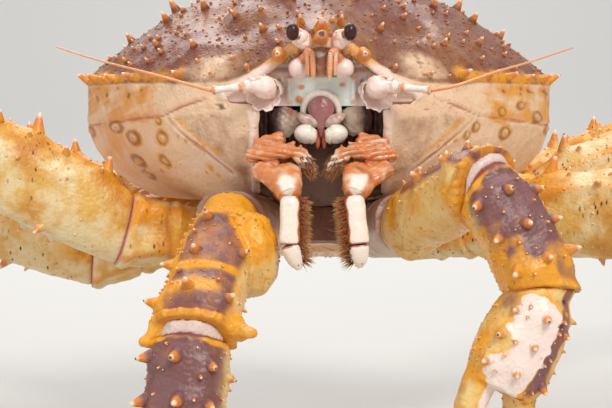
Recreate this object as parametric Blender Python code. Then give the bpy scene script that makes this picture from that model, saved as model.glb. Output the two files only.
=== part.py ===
"""A red king crab as a still, life-size display model, standing on its six walking legs.

Metres, +Z up. The crab faces -Y and +X is its left side.
"""

import math
import random

import bmesh
import bpy
from mathutils import Matrix, Vector

# Driving sizes of an adult male.
CARAPACE_WIDTH = 0.198
MARGIN_HEIGHT = 0.1685  # the carapace's edge above the floor
CARAPACE_RISE = 0.038  # from that edge to the top of the back
WALL_HEIGHT = 0.0490  # from that edge down to the flat underside
MERUS_LENGTH = 0.165  # upper leg of the middle pair
MERUS_DEPTH = 0.0335
GAP = 0.0003  # clear space that touching pieces keep
SINK = 0.0018  # how deep a spine's root goes
TOUCHING = 0.000002  # points closer than this are one point
SCATTER = 0.002  # how far the large spines of the back stray from their places
SEED = 11

SIDES = (("left", 1), ("right", -1))

# Radius of the carapace's outline as a share of its width, by degrees from straight ahead.
OUTLINE = (
    (0, 0.460), (18, 0.450), (31, 0.436), (45, 0.428), (60, 0.428), (75, 0.450), (88, 0.484),
    (100, 0.508), (113, 0.528), (127, 0.536), (141, 0.526), (155, 0.500), (168, 0.470), (180, 0.440),
)


def read(rows, place):
    """The values of a table at a place, on a smooth curve through its rows."""
    if place <= rows[0][0]:
        return list(rows[0][1:])
    if place >= rows[-1][0]:
        return list(rows[-1][1:])
    i = next(k for k in range(len(rows) - 1) if place <= rows[k + 1][0])
    low, high = rows[i], rows[i + 1]
    before, after = rows[max(i - 1, 0)], rows[min(i + 2, len(rows) - 1)]
    span = high[0] - low[0]
    s = (place - low[0]) / span
    values = []
    for k in range(1, len(low)):
        slope_low = (high[k] - before[k]) / (high[0] - before[0]) * span
        slope_high = (after[k] - low[k]) / (after[0] - low[0]) * span
        values.append(
            (2 * s**3 - 3 * s**2 + 1) * low[k]
            + (s**3 - 2 * s**2 + s) * slope_low
            + (3 * s**2 - 2 * s**3) * high[k]
            + (s**3 - s**2) * slope_high
        )
    return values


def signed_power(value, power):
    return math.copysign(abs(value) ** power, value)


def bell(distance, width):
    return math.exp(-((distance / width) ** 2))


def toward(heading, pitch, sign=1):
    """A unit vector: heading is degrees behind straight out to the side, pitch is degrees above level."""
    h, p = math.radians(heading), math.radians(pitch)
    return Vector((sign * math.cos(h) * math.cos(p), math.sin(h) * math.cos(p), math.sin(p)))


def mirrored(point, sign):
    return Vector((sign * point[0], point[1], point[2]))


class Tube:
    """A tapering limb piece. Its own +X runs from start to end, and its +Z is its back.

    rows hold the place from 0 to 1, the half width, the rise of the back and the drop of the belly.
    """

    def __init__(self, start, end, back, rows, bow=0.0, square=2.4):
        self.start, self.end = Vector(start), Vector(end)
        self.length = (self.end - self.start).length
        self.along = (self.end - self.start).normalized()
        side = Vector(back).cross(self.along).normalized()
        self.turn = Matrix((self.along, side, self.along.cross(side))).transposed()
        self.rows, self.bow, self.square = rows, bow, square

    def point(self, t, angle):
        width, rise, drop = read(self.rows, t)
        power = 2 / self.square
        y = width * signed_power(math.cos(angle), power)
        z = signed_power(math.sin(angle), power) * (rise if math.sin(angle) > 0 else drop)
        inside = min(max(t, 0), 1)
        return Vector((t * self.length, y, z + self.bow * 4 * inside * (1 - inside)))

    def normal(self, t, angle):
        step = 0.02
        across = self.point(t, angle + step) - self.point(t, angle - step)
        onward = self.point(t + step, angle) - self.point(t - step, angle)
        return across.cross(onward).normalized()

    def world(self):
        matrix = self.turn.to_4x4()
        matrix.translation = self.start
        return matrix


def material(name, colour, roughness=0.4):
    found = bpy.data.materials.get(name)
    if found:
        return found
    made = bpy.data.materials.new(name)
    made.use_nodes = True
    shader = made.node_tree.nodes["Principled BSDF"]
    shader.inputs["Base Color"].default_value = (*colour, 1)
    shader.inputs["Roughness"].default_value = roughness
    shader.inputs["Metallic"].default_value = 0.0
    return made


SHELL = dict(
    back=("back_shell", (0.30, 0.12, 0.09), 0.45),
    leg=("leg_shell", (0.72, 0.42, 0.09), 0.42),
    claw=("claw_shell", (0.42, 0.22, 0.20), 0.42),
    pale=("pale_shell", (0.80, 0.66, 0.52), 0.5),
    mouth=("mouthparts", (0.78, 0.36, 0.14), 0.45),
    lip=("lip_flesh", (0.72, 0.46, 0.44), 0.35),
    feeler=("feelers", (0.82, 0.42, 0.20), 0.4),
    eye=("eye_black", (0.05, 0.02, 0.015), 0.12),
)


def shell(kind):
    return material(*SHELL[kind])


def new_object(name, bm, finish=None, matrix=None):
    bmesh.ops.recalc_face_normals(bm, faces=bm.faces)
    mesh = bpy.data.meshes.new(name)
    bm.to_mesh(mesh)
    bm.free()
    obj = bpy.data.objects.new(name, mesh)
    if finish:
        mesh.materials.append(finish)
    if matrix:
        obj.matrix_world = matrix
    bpy.context.scene.collection.objects.link(obj)
    return obj


def bridge(bm, rings):
    """Faces between rings of vertices, and a cap on each end."""
    for lower, upper in zip(rings, rings[1:]):
        for k, corner in enumerate(lower):
            after = (k + 1) % len(lower)
            bm.faces.new((corner, lower[after], upper[after], upper[k]))
    bm.faces.new(list(reversed(rings[0])))
    bm.faces.new(rings[-1])


def cut(bm, point, normal):
    """Takes away what lies past a plane, and closes the cut with a flat face."""
    geometry = bm.verts[:] + bm.edges[:] + bm.faces[:]
    done = bmesh.ops.bisect_plane(
        bm, geom=geometry, dist=1e-6, plane_co=point, plane_no=normal, clear_outer=True
    )
    edges = [e for e in done["geom_cut"] if isinstance(e, bmesh.types.BMEdge) and e.is_boundary]
    if edges:
        bmesh.ops.edgeloop_fill(bm, edges=edges)


def tube_mesh(tube, sides, steps, before=0.0, after=0.0):
    """Rings along a tube, which run on past its start and its end by the lengths asked for."""
    bm = bmesh.new()
    places = [i / steps for i in range(steps + 1)]
    if before:
        places.insert(0, -before / tube.length)
    if after:
        places.append(1 + after / tube.length)
    rings = [
        [bm.verts.new(tube.point(t, math.tau * (k + 0.5) / sides)) for k in range(sides)] for t in places
    ]
    bridge(bm, rings)
    return bm


def limb(name, tube, finish, sides, steps, start_cut=None, end_cut=None, overrun=0.016):
    """A tube as an object, cut off at each end by the plane that it shares with its neighbour."""
    bm = tube_mesh(tube, sides, steps, overrun if start_cut else 0.0, overrun if end_cut else 0.0)
    back_to_own = tube.turn.transposed()
    for plane, sign in ((start_cut, -1), (end_cut, 1)):
        if plane:
            point, normal = plane
            cut(bm, back_to_own @ (Vector(point) - tube.start), back_to_own @ (Vector(normal) * sign))
    return new_object(name, bm, finish, tube.world())


def cone(root, direction, length, radius, tip=0.0, sides=5, sink=SINK):
    """A spine with its root sunk into what it grows from. Its place and direction are in the world."""
    direction = Vector(direction).normalized()
    bm = bmesh.new()
    bmesh.ops.create_cone(
        bm, cap_ends=True, segments=sides, radius1=radius, radius2=radius * tip, depth=length + sink
    )
    turn = direction.to_track_quat("Z", "Y").to_matrix().to_4x4()
    place = Matrix.Translation(Vector(root) + direction * (length - sink) / 2)
    bmesh.ops.transform(bm, matrix=place @ turn, verts=bm.verts)
    return new_object("spine", bm)


def ball(centre, radii, subdivisions=2):
    bm = bmesh.new()
    bmesh.ops.create_icosphere(bm, subdivisions=subdivisions, radius=1)
    bmesh.ops.scale(bm, vec=radii, verts=bm.verts)
    bmesh.ops.translate(bm, vec=centre, verts=bm.verts)
    return new_object("ball", bm)


def tidy_up(mesh):
    """Joins points that touch, splits faces into triangles, and keeps only the largest closed surface."""
    bm = bmesh.new()
    bm.from_mesh(mesh)
    bmesh.ops.remove_doubles(bm, verts=bm.verts, dist=TOUCHING)
    bmesh.ops.dissolve_degenerate(bm, edges=bm.edges, dist=TOUCHING)
    bmesh.ops.triangulate(bm, faces=bm.faces)
    left, surfaces = set(bm.faces), []
    while left:
        found, edge = [], [left.pop()]
        while edge:
            face = edge.pop()
            found.append(face)
            for near in (f for e in face.edges for f in e.link_faces):
                if near in left:
                    left.remove(near)
                    edge.append(near)
        surfaces.append(found)
    if len(surfaces) > 1:

        def volume(faces):
            return sum(f.calc_center_median().dot(f.normal) * f.calc_area() for f in faces)

        kept = max(surfaces, key=volume)
        dropped = [f for faces in surfaces if faces is not kept for f in faces]
        bmesh.ops.delete(bm, geom=dropped, context="FACES")
        loose = [v for v in bm.verts if not v.link_faces]
        bmesh.ops.delete(bm, geom=loose, context="VERTS")
    bm.to_mesh(mesh)
    bm.free()


def boolean(obj, pieces, operation):
    """Joins or cuts an object with pieces, which are then removed."""
    if not pieces:
        return obj
    group = bpy.data.collections.new("pieces")
    bpy.context.scene.collection.children.link(group)
    for piece in pieces:
        group.objects.link(piece)
    modifier = obj.modifiers.new(operation, "BOOLEAN")
    modifier.operand_type = "COLLECTION"
    modifier.collection = group
    modifier.operation = operation
    modifier.solver = "EXACT"
    bpy.context.view_layer.update()
    graph = bpy.context.evaluated_depsgraph_get()
    mesh = bpy.data.meshes.new_from_object(obj.evaluated_get(graph))
    obj.modifiers.clear()
    finish = obj.data.materials[0]
    obj.data = mesh
    mesh.materials.clear()
    mesh.materials.append(finish)
    tidy_up(mesh)
    for piece in pieces:
        bpy.data.objects.remove(piece)
    bpy.data.collections.remove(group)
    return obj


def fuse(obj, pieces):
    return boolean(obj, pieces, "UNION")


def swollen(obj, amount=GAP * 1.6):
    """A copy of an object, a little larger all round, which cuts its socket."""
    bpy.context.view_layer.update()
    bm = bmesh.new()
    bm.from_mesh(obj.data)
    bmesh.ops.transform(bm, matrix=obj.matrix_world, verts=bm.verts)
    bmesh.ops.recalc_face_normals(bm, faces=bm.faces)
    bm.normal_update()
    moves = [(v, v.normal.copy() * amount * min(v.calc_shell_factor(), 2.0)) for v in bm.verts]
    for vertex, move in moves:
        vertex.co += move
    return new_object(obj.name + "_socket", bm)


def carve(host, plugs):
    """Cuts a socket in host for each plug."""
    for plug in plugs:
        boolean(host, [swollen(plug)], "DIFFERENCE")


def row_of_spines(tube, angle, first, last, count, length, radius, draw, lean=0.35, sides=5):
    """Spines along one side of a limb piece, leaning towards its far end and varied a little."""
    spines = []
    for i in range(count):
        t = first + (last - first) * (i / max(count - 1, 1))
        turn = math.radians(angle) + draw.uniform(-0.08, 0.08)
        size = draw.uniform(0.75, 1.15)
        root = tube.start + tube.turn @ tube.point(t, turn)
        direction = tube.turn @ (tube.normal(t, turn) + Vector((lean, 0, 0)))
        spines.append(cone(root, direction, length * size, radius * (0.6 + 0.4 * size), sides=sides))
    return spines


def halfway(first, second):
    return (first + second).normalized()


# Carapace.


def outline_radius(angle):
    degrees = abs(math.degrees(math.atan2(math.sin(angle), math.cos(angle))))
    return CARAPACE_WIDTH * read(OUTLINE, degrees)[0]


def back_height(x, y, t):
    """Height of the carapace's back, with its domed regions and the grooves between them."""
    brow = 0.0160 * bell(x, 0.0185) * t**4 * (1 if y < 0 else 0)
    dome = CARAPACE_RISE * max(1 - t * t, 0) ** 0.86
    gastric = 0.0070 * bell(math.hypot(x / 0.026, (y + 0.042) / 0.024), 1)
    branchial = 0.0050 * bell(math.hypot((abs(x) - 0.048) / 0.026, (y - 0.018) / 0.036), 1)
    cardiac = 0.0045 * bell(math.hypot(x / 0.015, (y - 0.038) / 0.018), 1)
    ring = math.hypot(x / 0.040, (y + 0.040) / 0.036)
    neck_groove = 0.0045 * bell(ring - 1, 0.15) * (1 if y > -0.055 else bell(y + 0.055, 0.012))
    heart_groove = 0.0040 * bell(abs(x) - 0.022, 0.006) * bell(y - 0.040, 0.034)
    edge = 1 - t**6
    return MARGIN_HEIGHT + brow + dome + (gastric + branchial + cardiac - neck_groove - heart_groove) * edge


def carapace_point(angle, t):
    """The back for t up to 1, and the side wall for t from 1 to 2. The angle is from straight ahead."""
    radius = outline_radius(angle)
    if t <= 1:
        x, y = radius * t * math.sin(angle), -radius * t * math.cos(angle)
        return Vector((x, y, back_height(x, y, t)))
    fall = (t - 1) * WALL_HEIGHT
    edge = back_height(radius * math.sin(angle), -radius * math.cos(angle), 1)
    bulge = 0.0012 * math.sin(math.pi * min((t - 1) * 1.4, 1))
    radius += bulge - 0.0285 * (t - 1) ** 4
    height = edge - fall - (edge - MARGIN_HEIGHT) * (t - 1)
    return Vector((radius * math.sin(angle), -radius * math.cos(angle), height))


def carapace_normal(angle, t):
    step = 0.01
    around = carapace_point(angle + step, t) - carapace_point(angle - step, t)
    down = carapace_point(angle, min(t + step, 2)) - carapace_point(angle, max(t - step, 0.001))
    return around.cross(down).normalized() * -1


def place_on_back(x, y):
    """The angle and share of the radius at which the back passes over a point."""
    angle = math.atan2(x, -y)
    return angle, min(math.hypot(x, y) / outline_radius(angle), 0.98)


BACK_RINGS = (0.10, 0.22, 0.34, 0.46, 0.57, 0.68, 0.78, 0.87, 0.94, 0.98, 1.0)
WALL_RINGS = (1.18, 1.42, 1.66, 1.84, 2.0)
AROUND = 46


def carapace_shell():
    bm = bmesh.new()
    rings = [
        [bm.verts.new(carapace_point(math.tau * k / AROUND, t)) for k in range(AROUND)]
        for t in (*BACK_RINGS, *WALL_RINGS)
    ]
    for lower, upper in zip(rings, rings[1:]):
        for k in range(AROUND):
            after = (k + 1) % AROUND
            bm.faces.new((lower[k], lower[after], upper[after], upper[k]))
    top = bm.verts.new((0, 0, back_height(0, 0, 0)))
    for k in range(AROUND):
        bm.faces.new((top, rings[0][k], rings[0][(k + 1) % AROUND]))
    bm.faces.new(rings[-1])
    return new_object("carapace", bm, shell("back"))


# The largest spines of each region of the back, on one side: x, y, length.
REGION_SPINES = (
    (0.008, -0.074, 0.0080), (0.022, -0.070, 0.0070), (0.015, -0.055, 0.0085), (0.031, -0.050, 0.0060),
    (0.007, -0.040, 0.0080), (0.023, -0.034, 0.0070), (0.009, 0.026, 0.0085), (0.010, 0.040, 0.0085),
    (0.008, 0.054, 0.0070), (0.045, -0.020, 0.0070), (0.064, -0.010, 0.0075), (0.040, 0.004, 0.0080),
    (0.060, 0.014, 0.0085), (0.079, 0.012, 0.0070), (0.045, 0.030, 0.0080), (0.068, 0.038, 0.0080),
    (0.036, 0.054, 0.0070), (0.056, 0.060, 0.0075), (0.030, 0.074, 0.0065), (0.048, -0.056, 0.0065),
    (0.062, -0.036, 0.0060), (0.082, 0.034, 0.0070), (0.010, 0.074, 0.0060),
)
# Spines along the carapace's edge, by degrees from straight ahead: angle, length.
EDGE_SPINES = (
    (17, 0.0075), (27, 0.0060), (38, 0.0095), (49, 0.0070), (60, 0.0090), (71, 0.0075), (82, 0.0095),
    (93, 0.0105), (104, 0.0105), (115, 0.0100), (126, 0.0095), (138, 0.0085), (150, 0.0075), (163, 0.0060),
)


def carapace_spines(draw):
    spines = []
    for _, sign in SIDES:
        for x, y, length in REGION_SPINES:
            place = x + draw.uniform(-SCATTER, SCATTER), y + draw.uniform(-SCATTER, SCATTER)
            angle, t = place_on_back(sign * place[0], place[1])
            forward = Vector((0, -0.25, 0))
            spines.append(
                cone(carapace_point(angle, t), carapace_normal(angle, t) + forward,
                     length * draw.uniform(0.85, 1.1), length * 0.40)
            )
        for degrees, length in EDGE_SPINES:
            angle = sign * math.radians(degrees)
            outward = Vector((math.sin(angle), -math.cos(angle), 0.45))
            spines.append(
                cone(carapace_point(angle, 1.0), outward, length * draw.uniform(0.9, 1.1), length * 0.38)
            )
    return spines


BEAK_ROOT = Vector((0, -0.080, 0.1815))
BEAK_TIP = Vector((0, -0.1125, 0.1822))


def rostrum():
    """The forward spike between the eyes, the shorter one on its back, and the pair outside the eyes."""
    beak = BEAK_TIP - BEAK_ROOT
    pieces = [cone(BEAK_ROOT, beak, beak.length, 0.0058, tip=0.10, sides=8, sink=0.004)]
    pieces.append(cone((0, -0.0900, 0.1840), (0, -0.92, 0.42), 0.0105, 0.0036, sides=6, sink=0.003))
    for _, sign in SIDES:
        root = Vector((sign * 0.0150, -0.0885, 0.1755))
        pieces.append(cone(root, (sign * 0.05, -1, 0.02), 0.0120, 0.0034, sides=6, sink=0.003))
        root = Vector((sign * 0.0070, -0.0800, 0.1865))
        pieces.append(cone(root, (sign * 0.10, -0.7, 0.6), 0.0075, 0.0028))
    return pieces


# The hollow in the front that holds the eyes, feelers and mouth, as half an outline: x, height.
FACE_ARCH = (
    (0.0, 0.1785), (0.0100, 0.1765), (0.0170, 0.1712), (0.0240, 0.1660), (0.0300, 0.1632), (0.0340, 0.1608),
    (0.0325, 0.1585), (0.0245, 0.1572), (0.0232, 0.1500), (0.0232, 0.1050),
)
FACE_BACK = -0.066  # how deep that hollow goes
FACE_FLOOR = 0.1572  # the faceplate's lower edge
FACE_FRONT = -0.0830


def face_outline(inset=0.0, lowest=0.0):
    """The arch's points, drawn in by inset, and cut off below lowest."""
    half = [Vector((x, z)) for x, z in FACE_ARCH if z >= lowest]
    points = [Vector((-p.x, p.y)) for p in reversed(half[1:])] + half
    drawn = []
    for i, point in enumerate(points):
        before, after = points[i - 1], points[(i + 1) % len(points)]
        ahead, behind = (after - point).normalized(), (point - before).normalized()
        inward = Vector((ahead.y + behind.y, -ahead.x - behind.x))
        drawn.append(point + inward * inset / max(1 + ahead.dot(behind), 0.5))
    return [(p.x, p.y) for p in drawn]


def extruded(name, outline, front, back, finish=None):
    """An outline in XZ, drawn along Y."""
    bm = bmesh.new()
    rings = [[bm.verts.new((x, y, z)) for x, z in outline] for y in (front, back)]
    bridge(bm, rings)
    return new_object(name, bm, finish)


def faceplate():
    """The pale plate that carries the eyes and feelers."""
    outline = face_outline(GAP * 1.4, FACE_FLOOR)
    plate = extruded("faceplate", outline, FACE_FRONT, FACE_BACK - GAP, shell("pale"))
    brow = ball((0, FACE_FRONT + 0.002, 0.1640), (0.0115, 0.0050, 0.0052))
    shoulders = [
        ball((sign * 0.0180, FACE_FRONT + 0.001, 0.1618), (0.0068, 0.0050, 0.0042)) for _, sign in SIDES
    ]
    return fuse(plate, [brow, *shoulders])


def mouth():
    """The lip, the two jaws under it, and the block that they grow from."""
    block = [(0.0, 0.1568), (0.0190, 0.1566), (0.0200, 0.1500), (0.0150, 0.1440), (0.0, 0.1425)]
    outline = [(-x, z) for x, z in reversed(block[1:-1])] + block
    body = extruded("mouth", outline, -0.0800, FACE_BACK - GAP, shell("lip"))
    lip = Tube(
        (0, -0.0815, 0.1625), (0, -0.0835, 0.1480), (0, -1, 0),
        ((0, 0.0022, 0.0020, 0.004), (0.25, 0.0060, 0.0045, 0.004), (0.6, 0.0046, 0.0050, 0.004),
         (1, 0.0012, 0.0015, 0.004)),
    )
    pieces = [limb("lip", lip, None, 8, 4)]
    for _, sign in SIDES:
        pieces.append(ball((sign * 0.0052, -0.0830, 0.1470), (0.0048, 0.0040, 0.0042)))
        pieces.append(ball((sign * 0.0068, -0.0812, 0.1522), (0.0052, 0.0040, 0.0032)))
    return fuse(body, pieces)


def eye(side, sign):
    stalk_tube = Tube(
        mirrored((0.0048, -0.0850, 0.1785), sign), mirrored((0.0092, -0.0975, 0.1825), sign), (0, 0, 1),
        ((0, 0.0022, 0.0022, 0.0022), (0.5, 0.0026, 0.0026, 0.0026), (0.85, 0.0030, 0.0028, 0.0028),
         (1, 0.0028, 0.0027, 0.0027)),
        square=2.0,
    )
    end = (stalk_tube.end, stalk_tube.along)
    stalk = limb("eyestalk_" + side, stalk_tube, shell("pale"), 8, 3, end_cut=end, overrun=0.002)
    bm = bmesh.new()
    bmesh.ops.create_uvsphere(bm, u_segments=10, v_segments=7, radius=0.0031)
    bmesh.ops.scale(bm, vec=(1, 1, 1.3), verts=bm.verts)
    bmesh.ops.translate(bm, vec=(0.0008, 0, 0), verts=bm.verts)
    cut(bm, (GAP, 0, 0), (-1, 0, 0))
    matrix = stalk_tube.world()
    matrix.translation = stalk_tube.end
    cornea = new_object("eye_" + side, bm, shell("eye"), matrix)
    return stalk, cornea


def antennule(side, sign):
    """The short inner feeler: a round base and two thin segments folded up towards the middle."""
    base = ball(mirrored((0.0078, -0.0885, 0.1708), sign), (0.0036, 0.0042, 0.0036))
    base.name = "antennule_" + side
    base.data.materials.append(shell("feeler"))
    joints = [
        mirrored(p, sign)
        for p in ((0.0070, -0.0900, 0.1715), (0.0042, -0.0955, 0.1738), (0.0030, -0.0975, 0.1690))
    ]
    rows = ((0, 0.0014, 0.0014, 0.0014), (1, 0.0011, 0.0011, 0.0011))
    pieces = [
        limb("segment", Tube(a, b, (0, 0, 1), rows, square=2.0), None, 6, 1)
        for a, b in zip(joints, joints[1:])
    ]
    root = Tube(
        mirrored((0.0078, -0.0800, 0.1700), sign), mirrored((0.0078, -0.0880, 0.1706), sign), (0, 0, 1),
        ((0, 0.0024, 0.0024, 0.0024), (1, 0.0026, 0.0026, 0.0026)), square=2.0,
    )
    return fuse(base, [limb("root", root, None, 8, 1), *pieces])


ANTENNA_JOINTS = (
    (0.0165, -0.0815, 0.1632), (0.0215, -0.0920, 0.1636), (0.0275, -0.0958, 0.1640),
    (0.0385, -0.0975, 0.1628),
)
# The whip of each long feeler, from its root outwards.
WHIP = dict(
    left=((0.0385, -0.0975, 0.1628), (0.0470, -0.0968, 0.1644), (0.0555, -0.0930, 0.1672),
          (0.0640, -0.0880, 0.1700), (0.0740, -0.0800, 0.1728), (0.0860, -0.0690, 0.1765),
          (0.0960, -0.0560, 0.1795)),
    right=((-0.0385, -0.0975, 0.1628), (-0.0470, -0.0962, 0.1650), (-0.0545, -0.0925, 0.1672),
           (-0.0660, -0.0850, 0.1702), (-0.0790, -0.0740, 0.1735), (-0.0905, -0.0640, 0.1768),
           (-0.1005, -0.0540, 0.1800)),
)
WHIP_ROOT, WHIP_TIP = 0.0012, 0.0003
WHIP_STEPS = 18
WHIP_TAPER = 0.7


def antenna(side, sign):
    """The long outer feeler: a stout base of three segments, and a thin whip."""
    joints = [mirrored(p, sign) for p in ANTENNA_JOINTS]
    base_rows = ((0, 0.0040, 0.0040, 0.0040), (0.5, 0.0054, 0.0052, 0.0056), (1, 0.0036, 0.0036, 0.0038))
    middle_rows = ((0, 0.0030, 0.0028, 0.0028), (0.7, 0.0026, 0.0024, 0.0024), (1, 0.0020, 0.0020, 0.0020))
    last_rows = ((0, 0.0018, 0.0018, 0.0018), (0.8, 0.0022, 0.0021, 0.0021), (1, 0.0017, 0.0017, 0.0017))
    base_tube = Tube(joints[0], joints[1], (0, 0, 1), base_rows)
    base = limb("antenna_base_" + side, base_tube, shell("feeler"), 10, 4)
    middle_start = joints[1] - Vector((sign * 0.002, -0.0015, 0))
    middle = limb("middle", Tube(middle_start, joints[2], (0, 0, 1), middle_rows), None, 8, 2)
    last_tube = Tube(joints[2] - Vector((sign * 0.001, 0, 0)), joints[3], (0, 0, 1), last_rows)
    last = limb("last", last_tube, None, 8, 3)
    fuse(base, [middle, last])
    points = [Vector(p) for p in WHIP[side]]
    points[0] = joints[3] + last_tube.along * GAP * 3
    rows = [(i / (len(points) - 1), *p) for i, p in enumerate(points)]
    line = [Vector(read(rows, i / WHIP_STEPS)) for i in range(WHIP_STEPS + 1)]
    curve = bpy.data.curves.new("antenna_whip_" + side, "CURVE")
    curve.dimensions = "3D"
    curve.bevel_depth = WHIP_ROOT
    curve.bevel_resolution = 1
    curve.use_fill_caps = True
    spline = curve.splines.new("POLY")
    spline.points.add(WHIP_STEPS)
    for i, (target, place) in enumerate(zip(spline.points, line)):
        target.co = (*place, 1)
        target.radius = 1 + (WHIP_TIP / WHIP_ROOT - 1) * (i / WHIP_STEPS) ** WHIP_TAPER
    whip = bpy.data.objects.new("antenna_whip_" + side, curve)
    curve.materials.append(shell("feeler"))
    bpy.context.scene.collection.objects.link(whip)
    return base, whip


# Joints of the two pairs of jaw legs, as x, y, height on the left side, and their half thickness.
OUTER_JAW_LEG = dict(
    left=((0.0130, FACE_BACK - GAP, 0.1240), (0.0150, -0.0920, 0.1350), (0.0112, -0.1040, 0.1262),
          (0.0129, -0.1070, 0.1096), (0.0136, -0.1065, 0.1015)),
    right=((0.0130, FACE_BACK - GAP, 0.1240), (0.0142, -0.0920, 0.1345), (0.0108, -0.1040, 0.1260),
           (0.0110, -0.1070, 0.1094), (0.0080, -0.1065, 0.1007)),
)
INNER_JAW_LEG = (
    (0.0140, FACE_BACK - GAP, 0.1388), (0.0185, -0.0850, 0.1415), (0.0245, -0.0912, 0.1400),
    (0.0092, -0.0930, 0.1422), (0.0030, -0.0935, 0.1340),
)


def jaw_leg(name, joints, thick, finish):
    """A chain of small segments, whose root is a flat face on the back of the mouth's hollow."""
    pieces = []
    for i, (a, b) in enumerate(zip(joints, joints[1:])):
        wide, tall, narrow = thick[i]
        swell = ((0, 0.75), (0.3, 1.0), (0.8, 0.9), (1, narrow))
        rows = [(place, wide * share, tall * share, tall * share) for place, share in swell]
        lap = (b - a).normalized() * min(tall, 0.0025) if i else Vector((0, 0, 0))
        piece = Tube(a - lap, b, (0, -0.3, 1), rows, square=2.2)
        cuts = dict(start_cut=((0, FACE_BACK - GAP, 0), (0, -1, 0)), overrun=0.003) if i == 0 else {}
        pieces.append(limb(name if i == 0 else "segment", piece, finish if i == 0 else None, 8, 2, **cuts))
    return fuse(pieces[0], pieces[1:])


def jaw_legs(side, sign):
    outer = [mirrored(p, sign) for p in OUTER_JAW_LEG[side]]
    thick = ((0.0052, 0.0032, 0.9), (0.0060, 0.0036, 0.60), (0.0036, 0.0030, 0.95), (0.0033, 0.0026, 0.35))
    outer_leg = jaw_leg("outer_jaw_leg_" + side, outer, thick, shell("mouth"))
    inner = [mirrored(p, sign) for p in INNER_JAW_LEG]
    thick = ((0.0030, 0.0024, 0.9), (0.0028, 0.0024, 0.9), (0.0028, 0.0024, 0.9), (0.0028, 0.0022, 0.55))
    inner_leg = jaw_leg("inner_jaw_leg_" + side, inner, thick, shell("mouth"))
    return outer_leg, inner_leg


# Underside.

THORAX_TOP = MARGIN_HEIGHT - WALL_HEIGHT - GAP


def thorax():
    body = Tube(
        (0, -0.056, 0.1105), (0, 0.074, 0.1055), (0, 0, 1),
        ((0, 0.024, 0.016, 0.0045), (0.15, 0.041, 0.018, 0.0065), (0.4, 0.051, 0.018, 0.0085),
         (0.65, 0.052, 0.018, 0.0095), (0.85, 0.046, 0.018, 0.0095), (1, 0.033, 0.018, 0.0085)),
        square=2.8,
    )
    return limb("thorax", body, shell("pale"), 14, 6, end_cut=((0, 0, THORAX_TOP), (0, 0, 1)))


def abdomen():
    """The tail: a broad fold behind the back, and the flap that lies forward under the body."""
    fold_point, fold_normal = Vector((0, 0.0835, 0.0985)), Vector((0, -0.75, -0.66)).normalized()
    base_tube = Tube(
        (0, 0.0810, 0.1500), (0, 0.0820, 0.0955), (0, 1, 0),
        ((0, 0.024, 0.008, 0.006), (0.3, 0.034, 0.010, 0.006), (0.65, 0.040, 0.010, 0.006),
         (1, 0.040, 0.008, 0.007)),
        bow=0.010, square=2.6,
    )
    flap_tube = Tube(
        (0, 0.0840, 0.0930), (0, -0.0280, 0.1010), (0, 0, -1),
        ((0, 0.036, 0.0055, 0.0048), (0.25, 0.038, 0.0055, 0.0048), (0.55, 0.034, 0.0050, 0.0048),
         (0.85, 0.021, 0.0040, 0.0045), (1, 0.008, 0.0025, 0.0030)),
        square=2.6,
    )
    base = limb("abdomen_base", base_tube, shell("pale"), 16, 5,
                end_cut=(fold_point - fold_normal * GAP / 2, fold_normal), overrun=0.006)
    flap = limb("abdomen_flap", flap_tube, shell("pale"), 16, 6,
                start_cut=(fold_point + fold_normal * GAP / 2, fold_normal), overrun=0.010)
    return base, flap


# Walking legs. Rows are a place, half width, rise and drop, as shares of the piece's depth.

HIP_ROWS = ((0, 0.30, 0.30, 0.30), (0.35, 0.34, 0.34, 0.34), (0.75, 0.35, 0.42, 0.41), (1, 0.33, 0.46, 0.45))
MERUS_ROWS = (
    (0, 0.27, 0.44, 0.42), (0.12, 0.31, 0.50, 0.49), (0.45, 0.31, 0.51, 0.49), (0.8, 0.29, 0.45, 0.42),
    (0.94, 0.31, 0.42, 0.39), (1, 0.29, 0.36, 0.34),
)
CARPUS_ROWS = (
    (0, 0.24, 0.31, 0.30), (0.2, 0.28, 0.38, 0.33), (0.6, 0.29, 0.42, 0.33),
    (0.9, 0.29, 0.40, 0.33), (1, 0.26, 0.33, 0.29),
)
PROPODUS_ROWS = (
    (0, 0.22, 0.28, 0.27), (0.12, 0.24, 0.33, 0.29), (0.6, 0.20, 0.27, 0.25),
    (0.92, 0.19, 0.25, 0.23), (1, 0.17, 0.21, 0.20),
)
DACTYL_ROWS = (
    (0, 0.15, 0.19, 0.19), (0.15, 0.17, 0.22, 0.20), (0.5, 0.13, 0.16, 0.15),
    (0.85, 0.075, 0.09, 0.09), (1, 0.045, 0.050, 0.050),
)


def scaled(rows, size):
    return [(row[0], *(value * size for value in row[1:])) for row in rows]


# For each leg: root of the hip, then heading and pitch of hip and merus, of carpus, pitch of the
# dactyl, and the leg's size against the middle pair.
LEGS = dict(
    leg_1_left=((0.036, -0.032, 0.1050), (-20, 11.5), (-35, 0), (-31, -8), -50, 0.91),
    leg_1_right=((0.036, -0.032, 0.1050), (-20, 5.5), (-15, 25), (-19, -20), -68, 0.91),
    leg_2_left=((0.048, 0.002, 0.1050), (2, 13), (5, 17), (8, -14), -70, 1.0),
    leg_2_right=((0.048, 0.000, 0.1045), (-6, -10), (-8, 18), (-4, -18), -66, 1.0),
    leg_3_left=((0.044, 0.034, 0.1045), (30, 2), (38, 15), (41, -12), -68, 0.93),
    leg_3_right=((0.044, 0.034, 0.1045), (28, 0), (34, 14), (38, -12), -68, 0.93),
)
HIP_LENGTH, CARPUS_LENGTH, PROPODUS_LENGTH, DACTYL_LENGTH = 0.048, 0.078, 0.124, 0.084
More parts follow.
